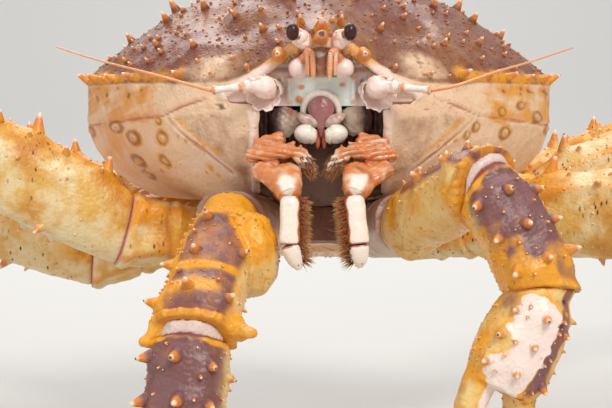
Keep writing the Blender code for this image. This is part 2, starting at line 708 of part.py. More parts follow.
# Rows of spines on each piece: angle round it, first and last place, count, length, radius.
LEG_SPINES = dict(
    merus=((90, 0.10, 0.90, 5, 0.0095, 0.0030), (140, 0.25, 0.93, 3, 0.0060, 0.0022),
           (-60, 0.2, 0.9, 2, 0.0055, 0.0022)),
    carpus=((80, 0.15, 0.85, 3, 0.0090, 0.0028), (35, 0.3, 0.8, 2, 0.0070, 0.0024),
            (145, 0.3, 0.8, 2, 0.0065, 0.0022)),
    propodus=((85, 0.08, 0.80, 4, 0.0065, 0.0022), (20, 0.2, 0.7, 2, 0.0050, 0.0020)),
)


def leg_directions(name, sign):
    """The unit vector of each piece. The propodus is pitched so that the tip reaches the floor."""
    root, hip, merus, carpus, dactyl_pitch, size = LEGS[name]
    raised = ((HIP_LENGTH, hip), (MERUS_LENGTH, merus), (CARPUS_LENGTH, carpus))
    knee = root[2] + sum(length * size * math.sin(math.radians(pitch)) for length, (_, pitch) in raised)
    fall = knee + DACTYL_LENGTH * size * math.sin(math.radians(dactyl_pitch))
    propodus_pitch = -math.degrees(math.asin(fall / (PROPODUS_LENGTH * size)))
    angles = (hip, merus, carpus, (carpus[0], propodus_pitch), (carpus[0], dactyl_pitch))
    lengths = (HIP_LENGTH, MERUS_LENGTH, CARPUS_LENGTH, PROPODUS_LENGTH, DACTYL_LENGTH)
    ways = [(toward(h, p, sign), length * size) for (h, p), length in zip(angles, lengths)]
    return Vector(mirrored(root, sign)), ways


def walking_leg(name, sign, draw):
    """A leg's five pieces, from the hip outwards."""
    size = LEGS[name][-1]
    start, parts = leg_directions(name, sign)
    depth = MERUS_DEPTH * (0.5 + 0.5 * size)
    specs = (
        ("hip", HIP_ROWS, 10, 2, 0.0), ("merus", MERUS_ROWS, 10, 6, 0.004),
        ("carpus", CARPUS_ROWS, 8, 4, 0.002), ("propodus", PROPODUS_ROWS, 8, 4, 0.002),
        ("dactyl", DACTYL_ROWS, 6, 5, 0.006),
    )
    made = []
    for i, (piece, rows, sides, steps, bow) in enumerate(specs):
        along, length = parts[i]
        end = start + along * length
        level = Vector((0, 0, 1))
        tube = Tube(start, end, level, scaled(rows, depth), bow=bow * size, square=2.2)
        start_cut = end_cut = None
        if i:
            normal = halfway(parts[i - 1][0], along)
            start_cut = (start + normal * GAP / 2, normal)
        if i < len(specs) - 1:
            normal = halfway(along, parts[i + 1][0])
            end_cut = (end - normal * GAP / 2, normal)
        else:
            end_cut = ((0, 0, 0), (0, 0, -1))
        obj = limb(f"{name}_{piece}", tube, shell("leg"), sides, steps, start_cut, end_cut)
        if piece in LEG_SPINES:
            spines = [
                spine
                for angle, first, last, count, long, radius in LEG_SPINES[piece]
                for spine in row_of_spines(tube, angle, first, last, count, long * size, radius * size, draw)
            ]
            fuse(obj, spines)
        made.append(obj)
        start = end
    return made


# Claws. Joints from the root: hip, start of the merus, of the carpus, of the palm, of the fingers, tips.

CLAW_JOINTS = dict(
    left=((0.0220, -0.0460, 0.1080), (0.0310, -0.0850, 0.1155), (0.0530, -0.1350, 0.1320),
          (0.0695, -0.1500, 0.0990), (0.0540, -0.1560, 0.0690), (0.0460, -0.1590, 0.0400)),
    right=((-0.0220, -0.0460, 0.1100), (-0.0325, -0.0860, 0.1150), (-0.0418, -0.1400, 0.0835),
           (-0.0450, -0.1540, 0.0420), (-0.0300, -0.2000, 0.0230), (-0.0140, -0.2320, 0.0110)),
)
CLAW_SIZE = dict(left=0.93, right=1.03)
# Round outgrowths of the ischium at the root of each claw's merus: centre and radii.
CLAW_LOBES = dict(
    left=((0.0326, -0.0900, 0.1157), (0.0110, 0.0120, 0.0135)),
    right=((-0.0248, -0.1000, 0.1052), (0.0100, 0.0120, 0.0155)),
)
# Pointed wings beside the wrist joint: root, tip and radius.
CLAW_WINGS = dict(
    left=(((0.0620, -0.1350, 0.1320), (0.0688, -0.1370, 0.1342), 0.0040),
          ((0.0470, -0.1330, 0.1270), (0.0405, -0.1360, 0.1290), 0.0035)),
    right=(((-0.0510, -0.1390, 0.0850), (-0.0592, -0.1420, 0.0796), 0.0052),
           ((-0.0320, -0.1380, 0.0870), (-0.0213, -0.1420, 0.0838), 0.0055)),
)
CLAW_HIP_ROWS = ((0, 0.0110, 0.0105, 0.0105), (0.5, 0.0130, 0.0115, 0.0120), (1, 0.0130, 0.0115, 0.0120))
CLAW_MERUS_ROWS = (
    (0, 0.0105, 0.0110, 0.0115), (0.3, 0.0120, 0.0125, 0.0125), (0.75, 0.0125, 0.0130, 0.0120),
    (0.93, 0.0135, 0.0130, 0.0120), (1, 0.0125, 0.0115, 0.0110),
)
CLAW_CARPUS_ROWS = (
    (0, 0.0095, 0.0095, 0.0090), (0.2, 0.0120, 0.0120, 0.0105), (0.7, 0.0122, 0.0125, 0.0110),
    (0.93, 0.0125, 0.0120, 0.0110), (1, 0.0110, 0.0105, 0.0100),
)
PALM_ROWS = (
    (0, 0.0090, 0.0085, 0.0085), (0.2, 0.0125, 0.0110, 0.0105), (0.7, 0.0140, 0.0118, 0.0110),
    (1, 0.0120, 0.0095, 0.0090),
)
FINGER_ROWS = (
    (0, 0.0070, 0.0060, 0.0060), (0.4, 0.0058, 0.0055, 0.0050), (0.8, 0.0036, 0.0034, 0.0032),
    (1, 0.0012, 0.0014, 0.0012),
)
CLAW_SPINES = dict(
    merus=((95, 0.25, 0.88, 3, 0.0060, 0.0024), (40, 0.5, 0.9, 2, 0.0055, 0.0022),
           (150, 0.55, 0.9, 2, 0.0055, 0.0022)),
    carpus=((90, 0.2, 0.82, 3, 0.0055, 0.0024), (45, 0.25, 0.8, 3, 0.0050, 0.0022),
            (140, 0.2, 0.82, 3, 0.0060, 0.0024), (0, 0.3, 0.7, 2, 0.0045, 0.0020)),
    palm=((90, 0.25, 0.8, 3, 0.0045, 0.0022), (50, 0.3, 0.8, 2, 0.0040, 0.0020),
          (135, 0.3, 0.8, 3, 0.0045, 0.0022)),
)
# Which way the back of each claw piece faces: the hip, merus, carpus and palm.
CLAW_BACKS = dict(
    left=((0, 0, 1), (0.2, -0.2, 1), (0.35, -1, 0.25), (0.25, -1, 0.1)),
    right=((0, 0, 1), (-0.1, -0.4, 1), (-0.2, -1, 0.1), (-0.3, -0.5, 1)),
)


def claw(side, draw):
    """A claw's five pieces, from the hip outwards, with the moving finger last."""
    joints = [Vector(p) for p in CLAW_JOINTS[side]]
    size = CLAW_SIZE[side]
    ways = [(b - a).normalized() for a, b in zip(joints, joints[1:])]
    specs = (
        ("hip", CLAW_HIP_ROWS, 10, 2, "leg"), ("merus", CLAW_MERUS_ROWS, 10, 4, "claw"),
        ("carpus", CLAW_CARPUS_ROWS, 12, 4, "claw"), ("palm", PALM_ROWS, 12, 4, "claw"),
    )
    made = []
    for i, (piece, rows, sides, steps, kind) in enumerate(specs):
        tube = Tube(joints[i], joints[i + 1], CLAW_BACKS[side][i], scaled(rows, size))
        start_cut = end_cut = None
        if i:
            normal = halfway(ways[i - 1], ways[i])
            start_cut = (joints[i] + normal * GAP / 2, normal)
        if piece != "palm":
            normal = halfway(ways[i], ways[i + 1])
            end_cut = (joints[i + 1] - normal * GAP / 2, normal)
        else:
            end_cut = (joints[i + 1] + ways[i] * 0.002, ways[i])
        obj = limb(f"claw_{side}_{piece}", tube, shell(kind), sides, steps, start_cut, end_cut)
        spines = []
        if piece in CLAW_SPINES:
            for angle, first, last, count, long, radius in CLAW_SPINES[piece]:
                spines += row_of_spines(tube, angle, first, last, count, long * size, radius * size, draw)
        made.append((obj, tube, spines))
    palm, palm_tube, palm_spines = made[-1]
    across = palm_tube.turn @ Vector((0, 1, 0))
    tip, grip = joints[-1], joints[-2]
    fixed = Tube(
        grip - ways[3] * 0.010 * size - across * 0.0062 * size, tip - across * 0.0040 * size, -across,
        scaled(FINGER_ROWS, size), bow=0.0035 * size, square=2.2,
    )
    moving = Tube(
        grip - ways[3] * 0.003 * size + across * 0.0072 * size, tip + across * 0.0045 * size, across,
        scaled(FINGER_ROWS, size * 0.95), bow=0.0038 * size, square=2.2,
    )
    fuse(palm, [limb("finger", fixed, None, 8, 5), *palm_spines])
    finger = limb(f"claw_{side}_finger", moving, shell("claw"), 8, 5)
    carve(palm, [finger])
    growths = made[1][2]
    growths.append(ball(*CLAW_LOBES[side]))
    for root, end, radius in CLAW_WINGS[side]:
        root, end = Vector(root), Vector(end)
        growths.append(cone(root, end - root, (end - root).length, radius, sides=6, sink=0.004))
    for obj, _, spines in made[:-1]:
        fuse(obj, spines)
    carve(made[1][0], [made[0][0], made[2][0]])
    return [obj for obj, _, _ in made] + [finger]


# Each side's hips from the claw backwards, by their place in the list of hips.
HIP_ORDER = ((6, 0, 2, 4), (7, 1, 3, 5))
HOLLOW_FRONT = -0.130
SHARP_ANGLE = math.radians(35)


def centre_on_floor(root, nodes):
    """Moves the whole crab so that the origin is on the floor, under the middle of its box."""
    bpy.context.view_layer.update()
    graph = bpy.context.evaluated_depsgraph_get()
    corners = []
    for node in nodes:
        evaluated = node.evaluated_get(graph)
        mesh = evaluated.to_mesh()
        corners += [evaluated.matrix_world @ v.co for v in mesh.vertices]
        evaluated.to_mesh_clear()
    for axis in (0, 1):
        values = [c[axis] for c in corners]
        root.location[axis] = -(min(values) + max(values)) / 2


def main():
    for obj in list(bpy.data.objects):
        bpy.data.objects.remove(obj)
    draw = random.Random(SEED)
    body = thorax()
    base, flap = abdomen()
    hips, others = [], []
    for name in LEGS:
        pieces = walking_leg(name, 1 if name.endswith("left") else -1, draw)
        hips.append(pieces[0])
        others += pieces[1:]
    for side, _ in SIDES:
        pieces = claw(side, draw)
        hips.append(pieces[0])
        others += pieces[1:]
    for row in HIP_ORDER:
        for ahead, behind in zip(row, row[1:]):
            carve(hips[behind], [hips[ahead]])
    back = carapace_shell()
    fuse(back, carapace_spines(draw) + rostrum())
    hollow = extruded("hollow", face_outline(), HOLLOW_FRONT, FACE_BACK)
    boolean(back, [hollow], "DIFFERENCE")
    plate, lips = faceplate(), mouth()
    feelers, eyes, jaws = [], [], []
    for side, sign in SIDES:
        eyes.append(eye(side, sign))
        feelers.append((antennule(side, sign), *antenna(side, sign)))
        jaws += jaw_legs(side, sign)
    stalks = [stalk for stalk, _ in eyes]
    bases = [piece for inner, outer, _ in feelers for piece in (inner, outer)]
    carve(plate, [*stalks, *bases, lips])
    carve(back, [*stalks, *bases, *hips, base])
    carve(body, [*hips, base, flap])
    nodes = [back, plate, lips, body, base, flap, *hips, *others, *jaws]
    nodes += [piece for pair in eyes for piece in pair] + [piece for group in feelers for piece in group]
    root = bpy.data.objects.new("crab", None)
    bpy.context.scene.collection.objects.link(root)
    centre_on_floor(root, nodes)
    for node in nodes:
        node.parent = root
        if node.type == "MESH":
            node.data.shade_smooth()
            node.data.set_sharp_from_angle(angle=SHARP_ANGLE)


main()
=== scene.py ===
import math
import random
import bpy
import numpy as np
from mathutils import Matrix, Vector
from mathutils.kdtree import KDTree


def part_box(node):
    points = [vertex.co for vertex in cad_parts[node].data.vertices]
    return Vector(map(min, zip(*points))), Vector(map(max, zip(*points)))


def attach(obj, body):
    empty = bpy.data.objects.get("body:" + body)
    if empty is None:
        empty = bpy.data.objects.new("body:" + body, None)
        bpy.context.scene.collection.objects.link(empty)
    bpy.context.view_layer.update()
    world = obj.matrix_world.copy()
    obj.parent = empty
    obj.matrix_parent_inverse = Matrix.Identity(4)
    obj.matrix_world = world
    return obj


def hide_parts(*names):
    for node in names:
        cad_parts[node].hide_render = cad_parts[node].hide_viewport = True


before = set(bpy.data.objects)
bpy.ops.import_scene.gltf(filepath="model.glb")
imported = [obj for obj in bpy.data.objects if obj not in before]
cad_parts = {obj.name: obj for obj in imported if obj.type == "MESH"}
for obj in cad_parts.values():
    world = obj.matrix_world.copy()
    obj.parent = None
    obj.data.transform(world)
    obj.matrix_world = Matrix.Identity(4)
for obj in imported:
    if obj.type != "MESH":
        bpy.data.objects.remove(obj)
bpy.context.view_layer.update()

# the crab is drawn about its own midline, and this moves it to where the frame has it
plateBack = -0.0663
eyeBoxes = [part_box("eye_" + side) for side in ("left", "right")]
shift = np.array((
    sum(corner.x for box in eyeBoxes for corner in box) / 4,
    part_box("faceplate")[1].y - plateBack,
    0.0,
))
sides = (("left", 1), ("right", -1))
tau = math.tau
markNames = ("tip", "side", "spots", "warm", "pale", "deep", "grain")


# numbers

def readTable(rows, places):
    table = np.array(rows, float)
    keys, values = table[:, 0], table[:, 1:]
    places = np.clip(np.asarray(places, float), keys[0], keys[-1])
    i = np.clip(np.searchsorted(keys, places) - 1, 0, len(keys) - 2)
    before, after = np.maximum(i - 1, 0), np.minimum(i + 2, len(keys) - 1)
    span = (keys[i + 1] - keys[i])[..., None]
    s = (places - keys[i])[..., None] / span
    slopeLow = (values[i + 1] - values[before]) / (keys[i + 1] - keys[before])[..., None] * span
    slopeHigh = (values[after] - values[i]) / (keys[after] - keys[i])[..., None] * span
    return (
        (2 * s**3 - 3 * s**2 + 1) * values[i] + (s**3 - 2 * s**2 + s) * slopeLow
        + (3 * s**2 - 2 * s**3) * values[i + 1] + (s**3 - s**2) * slopeHigh
    )


def bell(distance, width):
    return np.exp(-((distance / width) ** 2))


def ramp(value, low, high):
    s = np.clip((value - low) / (high - low), 0, 1)
    return s * s * (3 - 2 * s)


def signedPower(value, power):
    return np.sign(value) * np.abs(value) ** power


def unit(vector):
    vector = np.asarray(vector, float)
    return vector / np.linalg.norm(vector)


def mirrored(point, sign):
    return np.array((sign * point[0], point[1], point[2]))


def toward(heading, pitch, sign=1):
    h, p = math.radians(heading), math.radians(pitch)
    return np.array((sign * math.cos(h) * math.cos(p), math.sin(h) * math.cos(p), math.sin(p)))


def ripple(points, size, seed, waves=7):  # smooth unevenness between about -1 and 1
    draw = np.random.default_rng(seed)
    total = np.zeros(points.shape[:-1])
    for _ in range(waves):
        way = unit(draw.normal(size=3)) * (tau / (size * draw.uniform(0.7, 1.5)))
        total += np.sin(points @ way + draw.uniform(0, tau))
    return total / waves * 1.7


def apart(points, centre):
    return np.linalg.norm(points - np.asarray(centre), axis=-1)


def highest(*values):
    return np.maximum.reduce(values)


def lineDistance(points, line):  # distance of flat points from a bent line
    best = np.full(points.shape[:-1], 1e9)
    for a, b in zip(line, line[1:]):
        a, b = np.array(a, float), np.array(b, float)
        along = b - a
        s = np.clip(((points - a) @ along) / (along @ along), 0, 1)
        best = np.minimum(best, apart(points - a, s[..., None] * along))
    return best


# skins: points, faces and the marks that the finishes read

class Skin:
    def __init__(self, points, faces, marks=None):
        self.points = np.asarray(points, float).reshape(-1, 3)
        self.faces = faces
        self.marks = {name: np.zeros(len(self.points)) for name in markNames}
        for name, values in (marks or {}).items():
            self.marks[name] = np.broadcast_to(values, (len(self.points),)).astype(float)

    def corners(self):  # of each face, with the last corner of a triangle twice
        quads = np.array([face if len(face) == 4 else (*face, face[-1]) for face in self.faces])
        return quads, [self.points[quads[:, k]] for k in range(4)]

    def outward(self):
        _, (a, b, c, d) = self.corners()
        if np.sum(a * np.cross(b, c)) + np.sum(a * np.cross(c, d)) < 0:
            self.faces = [tuple(reversed(face)) for face in self.faces]
        return self

    def normals(self):
        quads, (a, b, c, d) = self.corners()
        flat = np.cross(c - a, d - b)
        sums = np.zeros_like(self.points)
        for k in range(4):
            for axis in range(3):
                sums[:, axis] += np.bincount(quads[:, k], flat[:, axis], len(self.points))
        return sums / np.maximum(np.linalg.norm(sums, axis=1), 1e-12)[:, None]

    def raised(self, amount):
        self.points = self.points + self.normals() * np.asarray(amount)[..., None]
        return self

    def set(self, **marks):
        for name, values in marks.items():
            self.marks[name] = np.broadcast_to(np.clip(values, 0, 1), (len(self.points),)).astype(float)
        return self


def joined(skins):
    faces, offset = [], 0
    for skin in skins:
        faces += [tuple(k + offset for k in face) for face in skin.faces]
        offset += len(skin.points)
    marks = {name: np.concatenate([skin.marks[name] for skin in skins]) for name in markNames}
    return Skin(np.concatenate([skin.points for skin in skins]), faces, marks)


def gridSkin(rings, marks=None):  # rings of points, closed at both ends by a pole
    rows, columns = rings.shape[:2]
    index = np.arange(rows * columns).reshape(rows, columns)
    lower, upper = index[:-1], index[1:]
    faces = np.stack([lower, np.roll(lower, -1, 1), np.roll(upper, -1, 1), upper], -1).reshape(-1, 4).tolist()
    poles = rows * columns, rows * columns + 1
    for k in range(columns):
        after = (k + 1) % columns
        faces.append((poles[0], int(index[0, after]), int(index[0, k])))
        faces.append((poles[1], int(index[-1, k]), int(index[-1, after])))
    points = np.concatenate([rings.reshape(-1, 3), rings[0].mean(0)[None], rings[-1].mean(0)[None]])
    full = {}
    for name, values in (marks or {}).items():
        values = np.broadcast_to(values, (rows, columns))
        full[name] = np.concatenate([values.reshape(-1), values[0, :1], values[-1, :1]])
    return Skin(points, faces, full).outward()


def ballSkin(centre, radii, rows=16, columns=24, turn=((1, 0, 0), (0, 1, 0), (0, 0, 1))):
    polar = np.linspace(0, math.pi, rows + 2)[1:-1, None]
    around = np.arange(columns)[None] / columns * tau
    local = np.stack(np.broadcast_arrays(
        np.sin(polar) * np.cos(around), np.sin(polar) * np.sin(around), np.cos(polar)), -1) * np.array(radii)
    turn = np.array(turn).T
    skin = gridSkin(local @ turn + np.array(centre))
    skin.points[-2:] = np.array(centre) + np.array([[0, 0, radii[2]], [0, 0, -radii[2]]]) @ turn
    return skin


def frameOf(direction):  # three axes, the last along a direction
    direction = unit(direction)
    helper = (0, 0, 1) if abs(direction[2]) < 0.9 else (0, 1, 0)
    across = unit(np.cross(helper, direction))
    return np.stack([across, np.cross(direction, across), direction], 1)


spineLook = dict(  # small ones have fewer faces
    small=0.0036,
    heights=(-0.32, -0.12, 0.04, 0.20, 0.40, 0.60, 0.79, 0.92, 0.98),
    widths=(1.12, 1.12, 1.02, 0.87, 0.70, 0.53, 0.36, 0.22, 0.10),
)


def spine(root, direction, length, radius, columns=12, bend=0.0):
    heights, widths = (np.array(spineLook[key]) for key in ("heights", "widths"))
    if length < spineLook["small"]:
        columns, heights, widths = 7, heights[::2], widths[::2]
    around = np.arange(columns) / columns * tau
    wobble = 1 + 0.06 * np.sin(around * 3 + length * 4000)
    axes = frameOf(direction)
    wide, rise = widths[:, None] * radius, np.clip(heights, 0, 1)[:, None]
    rings = np.stack(np.broadcast_arrays(
        wide * np.cos(around) * wobble + bend * length * rise ** 2, wide * np.sin(around) * wobble,
        heights[:, None] * length), -1)
    skin = gridSkin(rings @ axes.T + np.asarray(root), dict(tip=rise))
    skin.points[-1] = np.asarray(root) + axes @ np.array((bend * length, 0, length))
    skin.marks["tip"][-1] = 1
    return skin


# making objects

def meshOf(name, skin):
    mesh = bpy.data.meshes.new(name)
    mesh.from_pydata(skin.points.tolist(), [], skin.faces)
    for mark, values in skin.marks.items():
        layer = mesh.attributes.new(mark, "FLOAT", "POINT")
        layer.data.foreach_set("value", values.astype(np.float32))
    mesh.shade_smooth()
    return mesh


def linked(name, mesh):
    obj = bpy.data.objects.new(name, mesh)
    bpy.context.scene.collection.objects.link(obj)
    return obj


def evaluatedMesh(obj):
    bpy.context.view_layer.update()
    graph = bpy.context.evaluated_depsgraph_get()
    return bpy.data.meshes.new_from_object(obj.evaluated_get(graph))


def readMesh(mesh):
    points = np.empty(len(mesh.vertices) * 3)
    mesh.vertices.foreach_get("co", points)
    return Skin(points, [tuple(face.vertices) for face in mesh.polygons])


def melted(skins, voxel, softening=3):  # several closed forms grown into one
    obj = linked("melting", meshOf("melting", joined(skins)))
    remesh = obj.modifiers.new("melt", "REMESH")
    remesh.mode = "VOXEL"
    remesh.voxel_size = voxel
    soften = obj.modifiers.new("soften", "SMOOTH")
    soften.factor = 0.5
    soften.iterations = softening
    mesh = evaluatedMesh(obj)
    skin = readMesh(mesh)
    bpy.data.objects.remove(obj)
    bpy.data.meshes.remove(mesh)
    return skin


def carved(skin, cutter):  # one closed form less another
    obj, tool = linked("carving", meshOf("carving", skin)), linked("cutter", meshOf("cutter", cutter))
    cut = obj.modifiers.new("cut", "BOOLEAN")
    cut.operation, cut.solver, cut.object = "DIFFERENCE", "MANIFOLD", tool
    obj.modifiers.new("triangles", "TRIANGULATE")
    mesh = evaluatedMesh(obj)
    for used in (obj, tool):
        bpy.data.objects.remove(used)
    return readMesh(mesh)


def piece(name, skin, material, grains=None):  # named for its node, with a word of its own at the end
    skin.points = skin.points + shift
    obj = linked(name, meshOf(name, skin))
    obj.data.materials.append(material)
    if grains:
        grow(obj, material, grains)
    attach(obj, "root")
    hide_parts(name.rsplit("_", 1)[0])


# limbs: own +X runs from start to end, own +Z is the back

class Limb:
    def __init__(self, start, end, back, rows, bow=0.0, square=2.4):
        self.start, self.end = np.array(start, float), np.array(end, float)
        self.length = np.linalg.norm(self.end - self.start)
        self.along = (self.end - self.start) / self.length
        side = unit(np.cross(np.array(back, float), self.along))
        self.turn = np.stack([self.along, side, np.cross(self.along, side)], 1)
        self.rows, self.bow, self.square = rows, bow, square

    def local(self, t, angle):
        t, angle = np.broadcast_arrays(np.asarray(t, float), np.asarray(angle, float))
        values = readTable(self.rows, t)
        width, rise, drop = values[..., 0], values[..., 1], values[..., 2]
        power = 2 / self.square
        y = width * signedPower(np.cos(angle), power)
        z = signedPower(np.sin(angle), power) * np.where(np.sin(angle) > 0, rise, drop)
        inside = np.clip(t, 0, 1)
        return np.stack([t * self.length, y, z + self.bow * 4 * inside * (1 - inside)], -1)

    def normal(self, t, angle, step=0.02):
        across = self.local(t, angle + step) - self.local(t, angle - step)
        onward = self.local(t + step, angle) - self.local(t - step, angle)
        return unit(np.cross(across, onward))

    def world(self, local):
        return self.start + np.asarray(local) @ self.turn.T

    def own(self, points):
        return (points - self.start) @ self.turn

    def places(self, points):  # share of the length and angle round the axis
        own = self.own(points)
        t = own[:, 0] / self.length
        inside = np.clip(t, 0, 1)
        return t, np.arctan2(own[:, 2] - self.bow * 4 * inside * (1 - inside), own[:, 1])

    def reach(self, t, angles, plane):  # how far along each line of the skin the joint's plane lies
        x = np.full(len(angles), t * self.length)
        if plane is None:
            return x
        point, normal = self.own(np.asarray(plane[0])), np.asarray(plane[1]) @ self.turn
        _, y, z = (self.local(t, angles) - point).T
        return point[0] - (y * normal[1] + z * normal[2]) / normal[0]


def turned(angle, centre):  # difference of two angles, from minus to plus half a turn
    return (angle - centre + math.pi) % tau - math.pi


def limbSkin(limb, around, along, relief=None, planes=(None, None)):
    angles = (np.arange(around) + 0.5) / around * tau
    first, last = (limb.reach(t, angles, plane) for t, plane in zip((0.0, 1.0), planes))
    u = np.linspace(0, 1, along)[:, None]
    u = 0.6 * u + 0.4 * (0.5 - 0.5 * np.cos(math.pi * u))
    x = first + (last - first) * u
    angle = np.broadcast_to(angles, x.shape)
    local = limb.local(x / limb.length, angle)
    local[..., 0] = x
    marks = {}
    if relief:
        across = np.roll(local, -1, 1) - np.roll(local, 1, 1)
        normals = np.cross(across, np.gradient(local, axis=0))
        normals /= np.maximum(np.linalg.norm(normals, axis=-1), 1e-12)[..., None]
        lift, marks = relief(x / limb.length, angle, x - first, last - x, limb.world(local))
        local = local + normals * lift[..., None]
    inner = np.array((0.93, 0.75, 0.5, 0.25))[:, None, None]
    end = np.array((limb.length, 0, 0))
    rings = np.concatenate([(local[0] * inner)[::-1], local, end + (local[-1] - end) * inner])
    full = {}
    for name, values in marks.items():
        values = np.broadcast_to(values, x.shape)
        full[name] = np.concatenate([np.repeat(values[:1], 4, 0), values, np.repeat(values[-1:], 4, 0)])
    return gridSkin(limb.world(rings), full)


def tube(start, end, rows, around, along, relief=None, back=(0, 0, 1)):  # a limb of round section
    full = [row if len(row) > 2 else (row[0], *row[1:] * 3) for row in rows]
    return limbSkin(Limb(start, end, back, full, square=2.0), around, along, relief)


leaning = 0.35  # of the spines, to the end of their limb


def spineRoot(limb, t, turn, length, radius):
    way = limb.turn @ (limb.normal(t, turn) + np.array((leaning, 0, 0)))
    return limb.world(limb.local(t, turn)), way, length, radius


def spineRow(limb, angle, first, last, count, length, radius):
    found = []
    for i in range(count):
        t = first + (last - first) * (i / max(count - 1, 1))
        turn = math.radians(angle) + draw.uniform(-0.08, 0.08)
        size = draw.uniform(0.75, 1.15)
        found.append(spineRoot(limb, t, turn, length * size, radius * (0.6 + 0.4 * size)))
    return found


def bosses(points, roots, height=0.16, spread=1.9):  # the swelling that each spine rises from
    lift = np.zeros(points.shape[:-1])
    for root, _, length, radius in roots:
        lift += length * height * bell(apart(points, root), radius * spread)
    return lift


def spinesOf(roots, skin, lower=0.1):  # the shell's spines, in the colours of the shell at their feet
    tree = KDTree(len(skin.points))
    for i, point in enumerate(skin.points):
        tree.insert(point, i)
    tree.balance()
    found = []
    for i, (root, way, length, radius) in enumerate(roots):
        foot = root + unit(way) * length * lower
        made = spine(foot, way, length * (1 - lower), radius, bend=loose.uniform(-0.06, 0.06))
        nearest = [tree.find(point)[1] for point in made.points]
        for name in ("side", "warm", "pale", "deep"):
            made.marks[name] = skin.marks[name][nearest]
        if i % 3 == 0 and length > 0.0035:
            made.marks["spots"] = ramp(made.marks["tip"], 0.88, 0.96)
        found.append(made)
    return found


# finishes

class Wire:
    def __init__(self, board, socket):
        self.board, self.socket = board, socket

    def maths(self, operation, first, second):
        return self.board.add("ShaderNodeMath", {"operation": operation}, {0: first, 1: second})

    def __add__(self, other):
        return self.maths("ADD", self, other)

    def __radd__(self, other):
        return self.maths("ADD", other, self)

    def __sub__(self, other):
        return self.maths("SUBTRACT", self, other)

    def __rsub__(self, other):
        return self.maths("SUBTRACT", other, self)

    def __mul__(self, other):
        return self.maths("MULTIPLY", self, other)

    def __rmul__(self, other):
        return self.maths("MULTIPLY", other, self)


class Board:
    def __init__(self, name):
        self.material = bpy.data.materials.new(name)
        self.material.use_nodes = True
        self.tree = self.material.node_tree
        self.tree.nodes.clear()
        self.place = self.add("ShaderNodeTexCoord", output="Object")

    def add(self, kind, settings=None, inputs=None, output=0):
        made = self.tree.nodes.new(kind)
        for key, value in (settings or {}).items():
            setattr(made, key, value)
        for key, value in (inputs or {}).items():
            if isinstance(value, Wire):
                self.tree.links.new(value.socket, made.inputs[key])
            else:
                made.inputs[key].default_value = value
        return Wire(self, made.outputs[output])

    def mark(self, name):
        return self.add("ShaderNodeAttribute", {"attribute_name": name}, output="Fac")

    def noise(self, scale, detail=3.0, roughness=0.55):
        return self.add("ShaderNodeTexNoise", {}, {
            "Vector": self.place, "Scale": scale, "Detail": detail, "Roughness": roughness}, "Fac")

    def cells(self, scale, feature="F1", place=None):
        return self.add("ShaderNodeTexVoronoi", {"feature": feature}, {
            "Vector": place or self.place, "Scale": scale}, "Distance")

    def step(self, value, low, high):
        return self.add("ShaderNodeMapRange", {"interpolation_type": "SMOOTHSTEP"},
                        {"Value": value, "From Min": low, "From Max": high})

    def blend(self, factor, first, second):
        return self.add("ShaderNodeMix", {"data_type": "RGBA"}, {0: factor, 6: first, 7: second}, 2)

    def surface(self, colour, roughness, normal, **constants):
        values = {"Base Color": colour, "Roughness": roughness, **constants}
        if normal is not None:
            values["Normal"] = normal
        shader = self.add("ShaderNodeBsdfPrincipled", {}, values)
        target = self.tree.nodes.new("ShaderNodeOutputMaterial")
        self.tree.links.new(shader.socket, target.inputs["Surface"])
        return self.material


def colour(red, green, blue):  # as seen, 0 to 255
    def linear(value):
        value /= 255
        return value / 12.92 if value <= 0.04045 else ((value + 0.055) / 1.055) ** 2.4
    return (linear(red), linear(green), linear(blue), 1.0)


